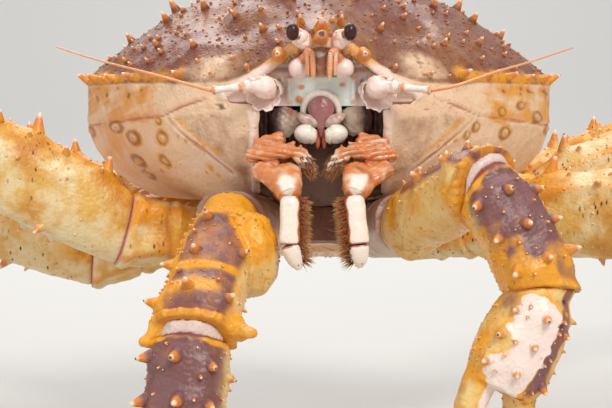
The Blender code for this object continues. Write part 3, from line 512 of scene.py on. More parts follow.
def shellFinish(name, look):
    board = Board(name)
    cloud = board.noise(look["cloudScale"], 4.0, 0.6)
    fine = board.noise(look["cloudScale"] * 5, 4.0, 0.65)
    uneven = (cloud - 0.5) * 1.1 + (fine - 0.5) * 0.6
    # the side mark blends towards the darker high colour: the shell's own darker upper side, and painted shade under
    # the front of the thorax and in the mouth
    side = board.step(board.mark("side") + uneven * 0.55, 0.30, 0.70)
    tone = board.blend(side, look["low"], look["high"])
    second = board.blend(side, look["lowMottle"], look["highMottle"])
    tone = board.blend(board.step(fine * 0.5 + cloud * 0.5, 0.44, 0.60) * look["mottle"], tone, second)
    warm = board.step(board.mark("warm") + uneven * 0.5, 0.25, 0.75)
    tone = board.blend(warm * 0.92, tone, look["warm"])
    pale = board.step(board.mark("pale") + uneven * 0.25, 0.25, 0.75)
    tone = board.blend(pale, tone, look["pale"])
    stretched = board.add("ShaderNodeMapping", {}, {"Vector": board.place, "Scale": look["streakStretch"]})
    speck = board.cells(look["speckScale"], place=stretched)
    where = board.step(board.noise(look["cloudScale"] * 1.7, 2.0), 0.42, 0.66)
    specks = (1 - board.step(speck, 0.10, 0.26)) * where * look["specks"]
    specks = specks * (1 - pale * 0.8)
    tone = board.blend(specks, tone, look["speck"])
    tone = board.blend(board.step(board.mark("deep"), 0.15, 0.85) * 0.85, tone, look["deep"])
    tip = board.mark("tip")
    tone = board.blend(board.step(tip, 0.22, 0.55) * look["tipStart"], tone, look["tipLow"])
    tone = board.blend(board.step(tip, 0.66, 0.90), tone, look["tipHigh"])
    # the spots mark blends towards the dark spot colour: real spots and dark tips, and painted shade in the face's
    # hollow and under the front of the thorax
    spots = board.step(board.mark("spots") + (fine - 0.5) * 0.3, 0.20, 0.80)
    tone = board.blend(spots * 0.9, tone, look["spot"])
    pits = board.cells(look["pitScale"], "SMOOTH_F1")
    height = board.noise(look["pitScale"] * 0.45, 5.0, 0.6) * 0.6 + pits * 0.5 + board.noise(95.0, 3.0) * 0.8
    bump = board.add("ShaderNodeBump", {}, {"Strength": look["bump"], "Distance": 0.0009, "Height": height})
    rough = look["rough"] + (fine - 0.5) * 0.22 + side * 0.06
    return board.surface(
        tone, rough, bump, **{"Coat Weight": look["coat"], "Coat Roughness": 0.25,
                              "Subsurface Weight": look["glow"], "Subsurface Radius": (0.006, 0.003, 0.0015),
                              "Subsurface Scale": 0.6, "Specular IOR Level": 0.45})


shellLook = dict(
    cloudScale=38.0, low=colour(240, 206, 170), high=colour(122, 68, 52), lowMottle=colour(236, 194, 156),
    highMottle=colour(150, 98, 50), mottle=0.8, warm=colour(232, 156, 40), pale=colour(246, 220, 206),
    speckScale=420.0, streakStretch=(1.0, 1.0, 1.0), specks=0.4, speck=colour(150, 84, 36),
    spot=colour(82, 40, 26), deep=colour(200, 118, 100), tipStart=0.85, tipLow=colour(230, 136, 60),
    tipHigh=colour(252, 222, 200), pitScale=900.0, bump=0.55, rough=0.38, coat=0.18, glow=0.08,
)
backFinish = shellFinish("crabBack", shellLook)
paleFinish = shellFinish("crabPlates", dict(shellLook, specks=0.15, mottle=0.5, glow=0.12))
legFinish = shellFinish("crabLegs", dict(
    shellLook, cloudScale=26.0, low=colour(236, 214, 166), high=colour(228, 168, 56),
    lowMottle=colour(226, 178, 88), highMottle=colour(202, 128, 32), mottle=1.0, warm=colour(230, 150, 30),
    specks=1.0, speckScale=440.0,
    streakStretch=(1.0, 1.0, 0.42), speck=colour(92, 46, 22), deep=colour(196, 124, 112)))
clawFinish = shellFinish("crabClaws", dict(
    shellLook, cloudScale=34.0, low=colour(236, 200, 128), high=colour(124, 80, 78),
    lowMottle=colour(230, 176, 84), highMottle=colour(164, 100, 66), warm=colour(240, 164, 30),
    pale=colour(246, 224, 212), specks=0.6,
    deep=colour(160, 58, 30), tipLow=colour(224, 134, 48), tipHigh=colour(250, 218, 178)))
hipFinish = shellFinish("crabHips", dict(
    shellLook, low=colour(208, 184, 166), high=colour(152, 120, 112), lowMottle=colour(196, 162, 140),
    highMottle=colour(172, 132, 110), warm=colour(230, 168, 60), deep=colour(116, 76, 66)))


# grains: small bumps grown over a skin by nodes

def newTree(name, inputs):
    tree = bpy.data.node_groups.new(name, "GeometryNodeTree")
    face = tree.interface
    for label, kind in {"Geometry": "Geometry", **inputs}.items():
        face.new_socket(label, in_out="INPUT", socket_type="NodeSocket" + kind)
    face.new_socket("Geometry", in_out="OUTPUT", socket_type="NodeSocketGeometry")

    def add(kind, settings=None, inputs=None):
        made = tree.nodes.new(kind)
        for key, value in (settings or {}).items():
            setattr(made, key, value)
        for key, value in (inputs or {}).items():
            if isinstance(value, bpy.types.NodeSocket):
                tree.links.new(value, made.inputs[key])
            else:
                made.inputs[key].default_value = value
        return made.outputs
    return tree, add, add("NodeGroupInput")


def finishTree(tree, add, source, geometry):
    finish = add("GeometryNodeSetMaterial", {}, {"Geometry": geometry, "Material": source["Finish"]})
    target = tree.nodes.new("NodeGroupOutput")
    tree.links.new(finish[0], target.inputs[0])
    return tree


def grownCones(add, source, scatter, rotation, shape, tip, length, largest):  # one at each scattered point
    cone = add("GeometryNodeMeshCone", {}, {
        "Vertices": shape[0], "Side Segments": shape[1], "Radius Top": shape[2],
        "Radius Bottom": 1.0, "Depth": 1.0})
    part = add("ShaderNodeSeparateXYZ", {}, {"Vector": add("GeometryNodeInputPosition")[0]})
    share = add("ShaderNodeMath", {"operation": "MULTIPLY"}, {0: part["Z"], 1: tip})
    tipped = add("GeometryNodeStoreNamedAttribute", {"data_type": "FLOAT", "domain": "POINT"}, {
        "Geometry": cone["Mesh"], "Name": "tip", "Value": share[0]})
    size = add("ShaderNodeCombineXYZ", {}, {"X": source["Width"], "Y": source["Width"], "Z": length})
    vary = add("FunctionNodeRandomValue", {"data_type": "FLOAT"}, {2: 0.55, 3: largest})
    scale = add("ShaderNodeVectorMath", {"operation": "SCALE"}, {0: size[0], "Scale": vary[1]})
    grown = add("GeometryNodeInstanceOnPoints", {}, {
        "Points": scatter["Points"], "Instance": tipped["Geometry"], "Rotation": rotation, "Scale": scale[0]})
    return add("GeometryNodeRealizeInstances", {}, {"Geometry": grown["Instances"]})["Geometry"]


def setInputs(obj, group, values):  # runs a node tree on an object and keeps the plain mesh
    modifier = obj.modifiers.new(group.name, "NODES")
    modifier.node_group = group
    for item in group.interface.items_tree:
        if item.in_out == "INPUT" and item.name in values:
            modifier[item.identifier] = values[item.name]
    mesh = evaluatedMesh(obj)
    obj.modifiers.clear()
    old = obj.data
    obj.data = mesh
    bpy.data.meshes.remove(old)
    mesh.materials.clear()
    mesh.shade_smooth()


grainLook = dict(spacing=0.0042, density=90000.0, width=0.0011, height=0.0009, tip=0.40, seed=4)


def grainTree():
    tree, add, source = newTree("grains", dict(
        Spacing="Float", Density="Float", Width="Float", Height="Float", Tip="Float",
        Seed="Int", Finish="Material"))
    sized = add("GeometryNodeInputNamedAttribute", {"data_type": "FLOAT"}, {"Name": "grain"})
    scatter = add("GeometryNodeDistributePointsOnFaces", {"distribute_method": "POISSON"}, {
        "Mesh": source["Geometry"], "Distance Min": source["Spacing"], "Density Max": source["Density"],
        "Density Factor": sized["Attribute"], "Seed": source["Seed"]})
    real = grownCones(
        add, source, scatter, scatter["Rotation"], (7, 2, 0.22), source["Tip"], source["Height"], 1.35)
    smooth = add("GeometryNodeSetShadeSmooth", {}, {"Geometry": real})
    both = tree.nodes.new("GeometryNodeJoinGeometry")
    for geometry in (source["Geometry"], smooth[0]):
        tree.links.new(geometry, both.inputs[0])
    return finishTree(tree, add, source, both.outputs[0])


grains = grainTree()


def grow(obj, material, look):
    setInputs(obj, grains, dict({key.capitalize(): value for key, value in look.items()}, Finish=material))
    obj.data.materials.append(material)


print("stage: kit ready")


# walking legs

draw = random.Random(11)  # the same draws as the frame's spines
loose = random.Random(5)
legSize = dict(hip=0.048, merus=0.165, carpus=0.078, propodus=0.124, dactyl=0.084, depth=0.0335)
hipRows = ((0, 0.30, 0.30, 0.30), (0.35, 0.34, 0.34, 0.34), (0.75, 0.35, 0.42, 0.41), (1, 0.33, 0.46, 0.45))
merusRows = (
    (0, 0.27, 0.44, 0.42), (0.12, 0.31, 0.50, 0.49), (0.45, 0.31, 0.51, 0.49), (0.8, 0.29, 0.45, 0.42),
    (0.94, 0.31, 0.42, 0.39), (1, 0.29, 0.36, 0.34),
)
carpusRows = (
    (0, 0.24, 0.31, 0.30), (0.2, 0.28, 0.38, 0.33), (0.6, 0.29, 0.42, 0.33), (0.9, 0.29, 0.40, 0.33),
    (1, 0.26, 0.33, 0.29),
)
propodusRows = (
    (0, 0.22, 0.28, 0.27), (0.12, 0.24, 0.33, 0.29), (0.6, 0.20, 0.27, 0.25), (0.92, 0.19, 0.25, 0.23),
    (1, 0.17, 0.21, 0.20),
)
dactylRows = (
    (0, 0.15, 0.19, 0.19), (0.15, 0.17, 0.22, 0.20), (0.5, 0.13, 0.16, 0.15), (0.85, 0.075, 0.09, 0.09),
    (1, 0.045, 0.050, 0.050),
)
# root of the hip, heading and pitch of hip, merus and carpus, pitch of the dactyl, size
legs = dict(
    leg_1_left=((0.036, -0.032, 0.1050), (-20, 11.5), (-35, 0), (-31, -8), -50, 0.91),
    leg_1_right=((0.036, -0.032, 0.1050), (-20, 5.5), (-15, 25), (-19, -20), -68, 0.91),
    leg_2_left=((0.048, 0.002, 0.1050), (2, 13), (5, 17), (8, -14), -70, 1.0),
    leg_2_right=((0.048, 0.000, 0.1045), (-6, -10), (-8, 18), (-4, -18), -66, 1.0),
    leg_3_left=((0.044, 0.034, 0.1045), (30, 2), (38, 15), (41, -12), -68, 0.93),
    leg_3_right=((0.044, 0.034, 0.1045), (28, 0), (34, 14), (38, -12), -68, 0.93),
)
legSpines = dict(
    merus=((90, 0.10, 0.90, 5, 0.0095, 0.0030), (140, 0.25, 0.93, 3, 0.0060, 0.0022),
           (-60, 0.2, 0.9, 2, 0.0055, 0.0022)),
    carpus=((80, 0.15, 0.85, 3, 0.0090, 0.0028), (35, 0.3, 0.8, 2, 0.0070, 0.0024),
            (145, 0.3, 0.8, 2, 0.0065, 0.0022)),
    propodus=((85, 0.08, 0.80, 4, 0.0065, 0.0022), (20, 0.2, 0.7, 2, 0.0050, 0.0020)),
)
# for each piece: rows, points round and along, bow, and rows of small spines as angle, count, length
legPieces = dict(
    hip=(hipRows, 72, 60, 0.0, ()),
    merus=(merusRows, 84, 130, 0.004,
           ((70, 9, 0.0035), (112, 8, 0.003), (-95, 7, 0.003), (20, 5, 0.0022))),
    carpus=(carpusRows, 72, 76, 0.002, ((60, 5, 0.0035), (110, 5, 0.0035), (-80, 4, 0.0025))),
    propodus=(propodusRows, 64, 96, 0.002,
              ((60, 7, 0.003), (120, 7, 0.003), (-85, 6, 0.0022), (5, 5, 0.002))),
    dactyl=(dactylRows, 48, 70, 0.006, ()),
)
jointLook = dict(
    rim=0.0007, rimPlace=0.0030, rimWidth=0.0020, groove=0.0004, groovePlace=0.0068, lip=0.0006,
)


def legWays(name, sign):
    root, hip, merus, carpus, dactylPitch, size = legs[name]
    lengths = [legSize[key] * size for key in legPieces]
    fall = root[2] + sum(
        length * math.sin(math.radians(pitch)) for length, (_, pitch) in zip(lengths, (hip, merus, carpus)))
    fall += lengths[4] * math.sin(math.radians(dactylPitch))
    propodusPitch = -math.degrees(math.asin(fall / lengths[3]))
    angles = (hip, merus, carpus, (carpus[0], propodusPitch), (carpus[0], dactylPitch))
    return mirrored(root, sign), [(toward(h, p, sign), length) for (h, p), length in zip(angles, lengths)]


def legRelief(part, size, roots, seed):
    def relief(t, angle, fromStart, fromEnd, points):
        look = jointLook
        up = np.sin(angle)
        lift = bosses(points, roots)
        ridges = bell(turned(angle, math.radians(90)), 0.20) + bell(turned(angle, math.radians(142)), 0.17)
        ridges = ridges + bell(turned(angle, math.radians(-58)), 0.16) * 0.7
        middle = ramp(fromStart, 0.004, 0.02) * ramp(fromEnd, 0.004, 0.02)
        if part in ("merus", "carpus", "propodus"):
            lift = lift + 0.0008 * size * ridges * middle
        lift = lift + 0.00035 * ripple(points, 0.016, seed) * middle + 0.00012 * ripple(points, 0.005, seed + 1)
        scallop = 1 + 0.35 * np.cos(angle * 7 + seed) + 0.2 * np.cos(angle * 11)
        rim = bell(fromEnd - look["rimPlace"], look["rimWidth"]) if part != "dactyl" else 0 * t
        lift = lift + look["rim"] * rim * scallop
        lift = lift - look["groove"] * bell(fromEnd - look["groovePlace"], 0.0016) * (part != "dactyl")
        lift = lift - look["lip"] * (bell(fromStart, 0.0011) + bell(fromEnd, 0.0010) * (part != "dactyl"))
        deep = bell(fromStart, 0.0008) + bell(fromEnd, 0.0005) * (part != "dactyl")
        if part == "hip":
            for place in (0.34, 0.60):
                line = bell(t - place - 0.03 * np.cos(angle) - 0.02 * np.sin(angle * 3), 0.016)
                lift = lift - 0.0012 * line + 0.0010 * bell(t - place + 0.06, 0.035)
                deep = deep + line * 0.5
            lift = lift + 0.0011 * np.cos(angle * 5 + t * 3) * ramp(t, 0.55, 0.75) * ramp(fromEnd, 0.001, 0.006)
        warm = 0.3 * ripple(points, 0.022, seed + 4)
        if part == "hip":
            warm = warm + 0.30 + 0.30 * up + 0.50 * np.cos(angle * 5 + t * 4) * ramp(t, 0.35, 0.60)
        else:
            warm = warm + 0.55 * ridges * middle + 0.25 * rim + 0.30 * up + 0.30 * ramp(fromEnd, 0.02, 0.004)
        if part == "dactyl":
            warm = warm + 0.2
            lift = lift + 0.0004 * np.cos(angle * 6) * middle
            deep = deep * 0.6
        spots = ramp(t, 0.90, 0.97) * (part == "dactyl")
        side = 0.40 + 0.22 * up + 0.38 * ripple(points, 0.030, seed + 2)
        grain = middle * (0.35 + 0.65 * ridges)
        return lift, dict(side=side, warm=warm, deep=deep, spots=spots, grain=grain)
    return relief


def smallSpines(limb, rows):
    found = []
    for angle, count, length in rows:
        for i in range(count):
            t = 0.08 + 0.84 * (i + loose.uniform(0.15, 0.85)) / count
            turn = math.radians(angle) + loose.uniform(-0.10, 0.10)
            size = length * loose.uniform(0.7, 1.25)
            found.append(spineRoot(limb, t, turn, size, size * 0.42))
    return found


def walkingLeg(name, sign):
    size = legs[name][-1]
    start, ways = legWays(name, sign)
    depth = legSize["depth"] * (0.5 + 0.5 * size)
    for i, (part, (rows, around, along, bow, small)) in enumerate(legPieces.items()):
        way, length = ways[i]
        end = start + way * length
        scaled = [(row[0], *(value * depth for value in row[1:])) for row in rows]
        limb = Limb(start, end, (0, 0, 1), scaled, bow * size, 2.2)
        planes = [(start, unit(ways[i - 1][0] + way)) if i else None,
                  (end, unit(way + ways[i + 1][0])) if i < 4 else (np.zeros(3), np.array((0.0, 0.0, -1.0)))]
        roots = []
        for angle, first, last, count, long, radius in legSpines.get(part, ()):
            roots += spineRow(limb, angle, first, last, count, long * size, radius * size)
        roots += smallSpines(limb, small)
        seed = 10 * i + 100 * list(legs).index(name)
        skin = limbSkin(limb, around, along, legRelief(part, size, roots, seed), planes)
        skin = joined([skin, *spinesOf(roots, skin)])
        grain = dict(grainLook, spacing=0.0030, width=0.00060, height=0.00038, seed=seed)
        if part in ("hip", "dactyl"):
            grain = None
        piece(f"{name}_{part}_shell", skin, legFinish, grain)
        start = end


for name in legs:
    walkingLeg(name, 1 if name.endswith("left") else -1)
print("stage: walking legs")


# claws

clawJoints = dict(
    left=((0.0220, -0.0460, 0.1080), (0.0310, -0.0850, 0.1155), (0.0530, -0.1350, 0.1320),
          (0.0695, -0.1500, 0.0990), (0.0540, -0.1560, 0.0690), (0.0460, -0.1590, 0.0400)),
    right=((-0.0220, -0.0460, 0.1100), (-0.0325, -0.0860, 0.1150), (-0.0418, -0.1400, 0.0835),
           (-0.0450, -0.1540, 0.0420), (-0.0300, -0.2000, 0.0230), (-0.0140, -0.2320, 0.0110)),
)
clawSize = dict(left=0.93, right=1.03)
clawLobes = dict(
    left=((0.0326, -0.0900, 0.1157), (0.0110, 0.0120, 0.0135)),
    right=((-0.0248, -0.1000, 0.1052), (0.0100, 0.0120, 0.0155)),
)
clawWings = dict(
    left=(((0.0620, -0.1350, 0.1320), (0.0688, -0.1370, 0.1342), 0.0040),
          ((0.0470, -0.1330, 0.1270), (0.0405, -0.1360, 0.1290), 0.0035)),
    right=(((-0.0510, -0.1390, 0.0850), (-0.0592, -0.1420, 0.0796), 0.0052),
           ((-0.0320, -0.1380, 0.0870), (-0.0213, -0.1420, 0.0838), 0.0055)),
)
clawRows = dict(
    hip=((0, 0.0110, 0.0105, 0.0105), (0.5, 0.0130, 0.0115, 0.0120), (1, 0.0130, 0.0115, 0.0120)),
    merus=((0, 0.0105, 0.0110, 0.0115), (0.3, 0.0120, 0.0125, 0.0125), (0.75, 0.0125, 0.0130, 0.0120),
           (0.93, 0.0135, 0.0130, 0.0120), (1, 0.0125, 0.0115, 0.0110)),
    carpus=((0, 0.0095, 0.0095, 0.0090), (0.2, 0.0120, 0.0120, 0.0105), (0.7, 0.0122, 0.0125, 0.0110),
            (0.93, 0.0125, 0.0120, 0.0110), (1, 0.0110, 0.0105, 0.0100)),
    palm=((0, 0.0090, 0.0085, 0.0085), (0.2, 0.0125, 0.0110, 0.0105), (0.7, 0.0140, 0.0118, 0.0110),
          (1, 0.0120, 0.0095, 0.0090)),
    finger=((0, 0.0070, 0.0060, 0.0060), (0.4, 0.0058, 0.0055, 0.0050), (0.8, 0.0036, 0.0034, 0.0032),
            (1, 0.0012, 0.0014, 0.0012)),
)
clawSpines = dict(
    merus=((95, 0.25, 0.88, 3, 0.0060, 0.0024), (40, 0.5, 0.9, 2, 0.0055, 0.0022),
           (150, 0.55, 0.9, 2, 0.0055, 0.0022)),
    carpus=((90, 0.2, 0.82, 3, 0.0055, 0.0024), (45, 0.25, 0.8, 3, 0.0050, 0.0022),
            (140, 0.2, 0.82, 3, 0.0060, 0.0024), (0, 0.3, 0.7, 2, 0.0045, 0.0020)),
    palm=((90, 0.25, 0.8, 3, 0.0045, 0.0022), (50, 0.3, 0.8, 2, 0.0040, 0.0020),
          (135, 0.3, 0.8, 3, 0.0045, 0.0022)),
)
clawBacks = dict(
    left=((0, 0, 1), (0.2, -0.2, 1), (0.35, -1, 0.25), (0.25, -1, 0.1)),
    right=((0, 0, 1), (-0.1, -0.4, 1), (-0.2, -1, 0.1), (-0.3, -0.5, 1)),
)


def sized(rows, size):
    return [(row[0], *(value * size for value in row[1:])) for row in rows]


def cornerForm(root, end, radius):  # a blunt horn of the shell's edge
    way = np.array(end) - np.array(root)
    return spine(np.array(root), way, np.linalg.norm(way), radius, 16)


clawLook = dict(
    voxel=0.00062, around=64, along=60, fingerAround=40, knob=0.0009, hipSeams=(0.35, 0.68),
    crescent=dict(left=0.0026, right=0.0040),  # how much of the pale joint skin shows
    small=((65, 5, 0.0022), (115, 5, 0.0022), (20, 4, 0.002), (-30, 4, 0.002), (170, 4, 0.002)),
    beads=tuple((turn, 15, 0.0015) for turn in range(146, 206, 9)),  # the fine rows of the right claw
    grains=dict(grainLook, spacing=0.0017, width=0.00048, height=0.00036, tip=0.9),
)


def clawPiece(side, part, limb, planes, roots, extra=()):
    look, right = clawLook, side == "right"
    skin = melted([limbSkin(limb, look["around"], look["along"], planes=planes), *extra], look["voxel"])
    p = skin.points
    t, angle = limb.places(p)
    fromStart, fromEnd = [
        np.ones(len(p)) if plane is None else way * ((p - plane[0]) @ plane[1])
        for plane, way in zip(planes, (1, -1))]
    up = np.sin(angle)
    outer = np.cos(angle) * (-1 if right else 1)
    seed = len(part) * 7 + len(side)
    middle = ramp(t, 0.02, 0.15) * ramp(1 - t, 0.02, 0.12)
    lift = bosses(p, roots, 0.22, 2.0)
    lift = lift + 0.0004 * ripple(p, 0.014, seed) * middle + 0.00015 * ripple(p, 0.004, seed)
    edge = ramp(np.abs(np.cos(angle)), 0.72, 0.96)
    warm, pale, deep, spots, back = 0 * t, 0 * t, 0 * t, 0 * t, 0.50 + 0.50 * up - 0.35 * edge
    if part == "merus":
        rim, band = bell(fromEnd - 0.0020, 0.0013), 1 - ramp(fromEnd, 0.0024, 0.0036)
        knob = ramp(np.cos(angle * 13 + seed * 0.7) + 0.6 * np.cos(angle * 29), 0.0, 1.0)
        arc = bell(t - 0.68 + 0.10 * (1 - up), 0.030) * ramp(up, 0.35, 0.75) * right
        groove = bell(fromEnd - 0.0048, 0.0012)
        lift = lift + rim * (0.0004 + look["knob"] * knob) - 0.0005 * groove + 0.0009 * arc
        warm = band * (0.66 + 0.30 * ripple(p, 0.007, 16)) + rim * knob + 0.8 * bell(t - 0.05, 0.12)
        warm = warm + 0.5 * edge * (0.5 + 0.5 * ripple(p, 0.010, 6))
        warm = warm + (0.30 + 0.55 * ramp(outer, 0.55, 0.80)) * right
        warm = warm + 0.75 * arc + 0.45 * bell(t - 0.85, 0.06) * ramp(up, 0.6, 0.95) * right
        deep = 0.42 * band * (1 - knob * rim) + 0.5 * bell(fromEnd - 0.0042, 0.0009)
        wing = np.full(len(p), 9.0)
        for root, end, radius in clawWings[side]:
            wing = np.minimum(wing, apart(p, np.array(root) * 0.3 + np.array(end) * 0.7) / radius)
        winged = 1 - ramp(wing, 0.9, 1.9)
        warm, deep, back = np.maximum(warm, winged * 0.75), deep * (1 - winged), back * (1 - winged)
        lift = lift + 0.0005 * winged * ripple(p, 0.004, 9)
        pale = 0.35 * winged * ramp(ripple(p, 0.006, 3), 0.1, 0.8)
        centre, radii = clawLobes[side]
        ball = (p - np.array(centre)) / np.array(radii)
        lobe = 1 - ramp(apart(ball, 0), 1.0, 1.3)
        flow = ripple(p * (1, 1, 0.25), 0.006, 12)
        low = ramp(-ball[:, 2] + 0.5 * ball[:, 0] * (1 if right else -1) + 0.4 * flow, -0.4, 0.7)
        warm, back = warm * (1 - lobe) + lobe * (1 - low), back * (1 - lobe)
        lift = lift + lobe * (0.0006 * flow + 0.0005 * ripple(p, 0.010, 4))
        spots = lobe * 0.6 * ramp(ripple(p, 0.0028, 8), 0.45, 0.9) * ramp(ball[:, 2], 0.35, 0.8)
        pale, deep = pale * (1 - lobe), deep * (1 - lobe) + lobe * 0.5 * bell(flow - 0.2, 0.10) * low
    if part == "carpus":
        after = fromStart - look["crescent"][side] * ramp(up, -0.5, 0.9)
        back = 0.60 + 0.40 * up - 0.15 * edge
        pale = 0.60 * (1 - ramp(after, 0.0, 0.0005))
        warm = bell(after - 0.0022, 0.0013) * (0.5 + 0.5 * ramp(1 - up, 0.04, 0.30))
        warm = warm + 0.45 * ramp(t, 0.80, 0.93) + 0.7 * ramp(-up, 0.1, 0.6)
        warm = warm + 0.55 * ramp(ripple(p, 0.020, 5), 0.15, 0.8) * ramp(t, 0.5, 0.8)
        if not right:
            warm = warm + 0.62 * ramp(1.3 * t - outer + 0.45 * ripple(p, 0.009, 5), 0.8, 1.5)
        knobs = np.maximum(np.cos(angle * 14), 0) * np.maximum(np.cos(t * 150), 0)
        lift = lift + 0.0007 * bell(after - 0.0022, 0.0012) * (1 + 0.5 * np.cos(angle * 13))
        lift = lift + 0.0003 * knobs * middle - 0.0008 * bell(after - 0.0004, 0.0006)
        deep = 0.9 * bell(after - 0.0007, 0.0006)
    if part == "palm":
        fray = 0.20 * ripple(p, 0.010, 3) + 0.10 * ripple(p, 0.004, 4)
        strip = bell(outer - 0.56, 0.15) * ramp(up, -0.1, 0.3) * ramp(fray + 0.25, 0.0, 0.2)
        pale = ramp(up + fray, 0.60, 0.78) * ramp(t + 0.3 * fray, 0.10, 0.16)
        pale = pale * ramp(0.42 + fray - outer, 0.0, 0.12)
        back = 0.30 + 0.25 * ripple(p, 0.012, 18) + 0.7 * strip
        warm = (1 - strip) * (0.42 + 1.2 * fray + 0.3 * bell(pale - 0.5, 0.4)) + 0.5 * bell(t - 0.97, 0.07)
        spots = 0.9 * ramp(ripple(p, 0.0032, 6), 0.5, 0.8) * bell(outer - 0.50, 0.20) * ramp(up, 0.0, 0.3)
        deep = 0.35 * edge * ramp(ripple(p, 0.008, 6), 0.2, 0.8)
    if part == "hip":
        back = 0.45 + 0.35 * up
        for place in look["hipSeams"]:
            line = bell(t - place, 0.016)
            lift, deep = lift - 0.0010 * line, deep + line * 0.5
    grain = middle * (1 - pale) * (0.3 + 0.7 * edge)
    return skin.raised(lift).set(side=back, warm=warm, pale=pale, deep=deep, spots=spots, grain=grain)


def claw(side):
    look, size = clawLook, clawSize[side]
    joints = [np.array(point) for point in clawJoints[side]]
    ways = [unit(b - a) for a, b in zip(joints, joints[1:])]
    made = {}
    for i, part in enumerate(("hip", "merus", "carpus", "palm")):
        limb = Limb(joints[i], joints[i + 1], clawBacks[side][i], sized(clawRows[part], size))
        planes = [(joints[i], unit(ways[i - 1] + ways[i])) if i else None,
                  (joints[i + 1], unit(ways[i] + ways[i + 1])) if part != "palm" else None]
        roots, extra = [], []
        for angle, first, last, count, long, radius in clawSpines.get(part, ()):
            roots += spineRow(limb, angle, first, last, count, long * size, radius * size)
        beads = look["beads"] if part == "merus" and side == "right" else ()
        if part in clawSpines:
            roots += smallSpines(limb, look["small"] + beads)
        if part == "merus":
            extra = [ballSkin(*clawLobes[side]), *(cornerForm(*wing) for wing in clawWings[side])]
        if part == "palm":
            across, finger = limb.turn[:, 1], clawRows["finger"]
            tip, grip = joints[-1], joints[-2]
            fixed = Limb(grip - ways[3] * 0.010 * size - across * 0.0062 * size, tip - across * 0.0040 * size,
                         -across, sized(finger, size), 0.0035 * size, 2.2)
            moving = Limb(grip - ways[3] * 0.003 * size + across * 0.0072 * size,
                          tip + across * 0.0045 * size, across, sized(finger, size * 0.95), 0.0038 * size, 2.2)
            extra = [limbSkin(fixed, look["fingerAround"], look["fingerAround"])]
        skin = clawPiece(side, part, limb, planes, roots, extra)
        made[part] = joined([skin, *spinesOf(roots, skin)])
    made["finger"] = melted([limbSkin(moving, look["fingerAround"], look["fingerAround"])], look["voxel"])
    p = made["finger"].points
    t, _ = moving.places(p)
    made["finger"].raised(0.0002 * ripple(p, 0.005, 3)).set(
        side=0.5 - t, warm=0.5 - 0.5 * t, spots=ramp(t, 0.85, 0.97) * 0.8, grain=1 - ramp(t, 0.5, 0.8))
    for part, skin in made.items():
        finish, slot, grain = (
            (hipFinish, "leg_shell", None) if part == "hip" else (clawFinish, "claw_shell", look["grains"]))
        piece(f"claw_{side}_{part}_shell", skin, finish, grain)


for side in clawJoints:
    claw(side)
print("stage: claws")


# carapace

carapaceLook = dict(
    width=0.198, margin=0.1685, rise=0.038, wall=0.049, wallRadius=0.088, around=380, back=78, side=64,
    scattered=230, spacing=0.0062, regionScale=0.80, edgeScale=0.58, cutFront=-0.130, cutBack=-0.066,
    grains=dict(grainLook, spacing=0.0034, width=0.00060, height=0.00040, seed=9),
)
outline = (
    (0, 0.460), (18, 0.450), (31, 0.436), (45, 0.428), (60, 0.428), (75, 0.450), (88, 0.484), (100, 0.508),
    (113, 0.528), (127, 0.536), (141, 0.526), (155, 0.500), (168, 0.470), (180, 0.440),
)
regionSpines = (
    (0.008, -0.074, 0.0045), (0.022, -0.070, 0.0060), (0.015, -0.055, 0.0085), (0.031, -0.050, 0.0060),
    (0.007, -0.040, 0.0080), (0.023, -0.034, 0.0070), (0.009, 0.026, 0.0085), (0.010, 0.040, 0.0085),
    (0.008, 0.054, 0.0070), (0.045, -0.020, 0.0070), (0.064, -0.010, 0.0075), (0.040, 0.004, 0.0080),
    (0.060, 0.014, 0.0085), (0.079, 0.012, 0.0070), (0.045, 0.030, 0.0080), (0.068, 0.038, 0.0080),
    (0.036, 0.054, 0.0070), (0.056, 0.060, 0.0075), (0.030, 0.074, 0.0065), (0.048, -0.056, 0.0065),
    (0.062, -0.036, 0.0060), (0.082, 0.034, 0.0070), (0.010, 0.074, 0.0060),
)
edgeSpines = (
    (17, 0.0075), (27, 0.0060), (38, 0.0095), (49, 0.0070), (60, 0.0090), (71, 0.0075), (82, 0.0095),
    (93, 0.0105), (104, 0.0105), (115, 0.0100), (126, 0.0095), (138, 0.0085), (150, 0.0075), (163, 0.0060),
)
faceArch = (
    (0.0, 0.1785), (0.0100, 0.1765), (0.0170, 0.1712), (0.0240, 0.1660), (0.0300, 0.1632), (0.0340, 0.1608),
    (0.0325, 0.1585), (0.0245, 0.1572), (0.0232, 0.1500), (0.0232, 0.1050),
)
# seams and ring spots of the side wall: degrees from straight ahead, height, and a spot's radius
wallSeams = (
    ((29, 0.1598), (37, 0.1570), (44, 0.1537), (55, 0.1527), (67, 0.1514), (84, 0.1498), (110, 0.1500),
     (150, 0.1515)),
    ((42, 0.1530), (35, 0.1455), (29, 0.1390), (24, 0.1330)),
)
ringSpots = dict(
    left=((55.7, 0.1552, 0.0024), (58.6, 0.1470, 0.0032), (77.7, 0.1531, 0.0030), (43.4, 0.1496, 0.0024),
          (40.2, 0.1466, 0.0020), (66.7, 0.1576, 0.0020), (88.3, 0.1480, 0.0028), (100, 0.142, 0.003),
          (118, 0.149, 0.003), (134, 0.141, 0.0028)),
    right=((68.6, 0.1492, 0.0030), (60.2, 0.1450, 0.0034), (45.6, 0.1454, 0.0032), (64.2, 0.1357, 0.0030),
           (48.8, 0.1364, 0.0028), (45.6, 0.1518, 0.0016), (66.3, 0.1299, 0.0024), (88, 0.147, 0.003),
           (104, 0.141, 0.003), (124, 0.148, 0.0028)),
)

# small orange marks in front of the seam: degrees, height, radius
freckles = (
    (33.0, 0.1435, 0.0011), (30.5, 0.1428, 0.0009), (36.0, 0.1446, 0.0012), (31.0, 0.1345, 0.0016),
    (29.2, 0.1318, 0.0012), (33.5, 0.1325, 0.0010), (38.5, 0.1462, 0.0008), (50.0, 0.1338, 0.0013),
    (55.0, 0.1322, 0.0014), (52.0, 0.1355, 0.0010), (70.0, 0.1330, 0.0012),
)


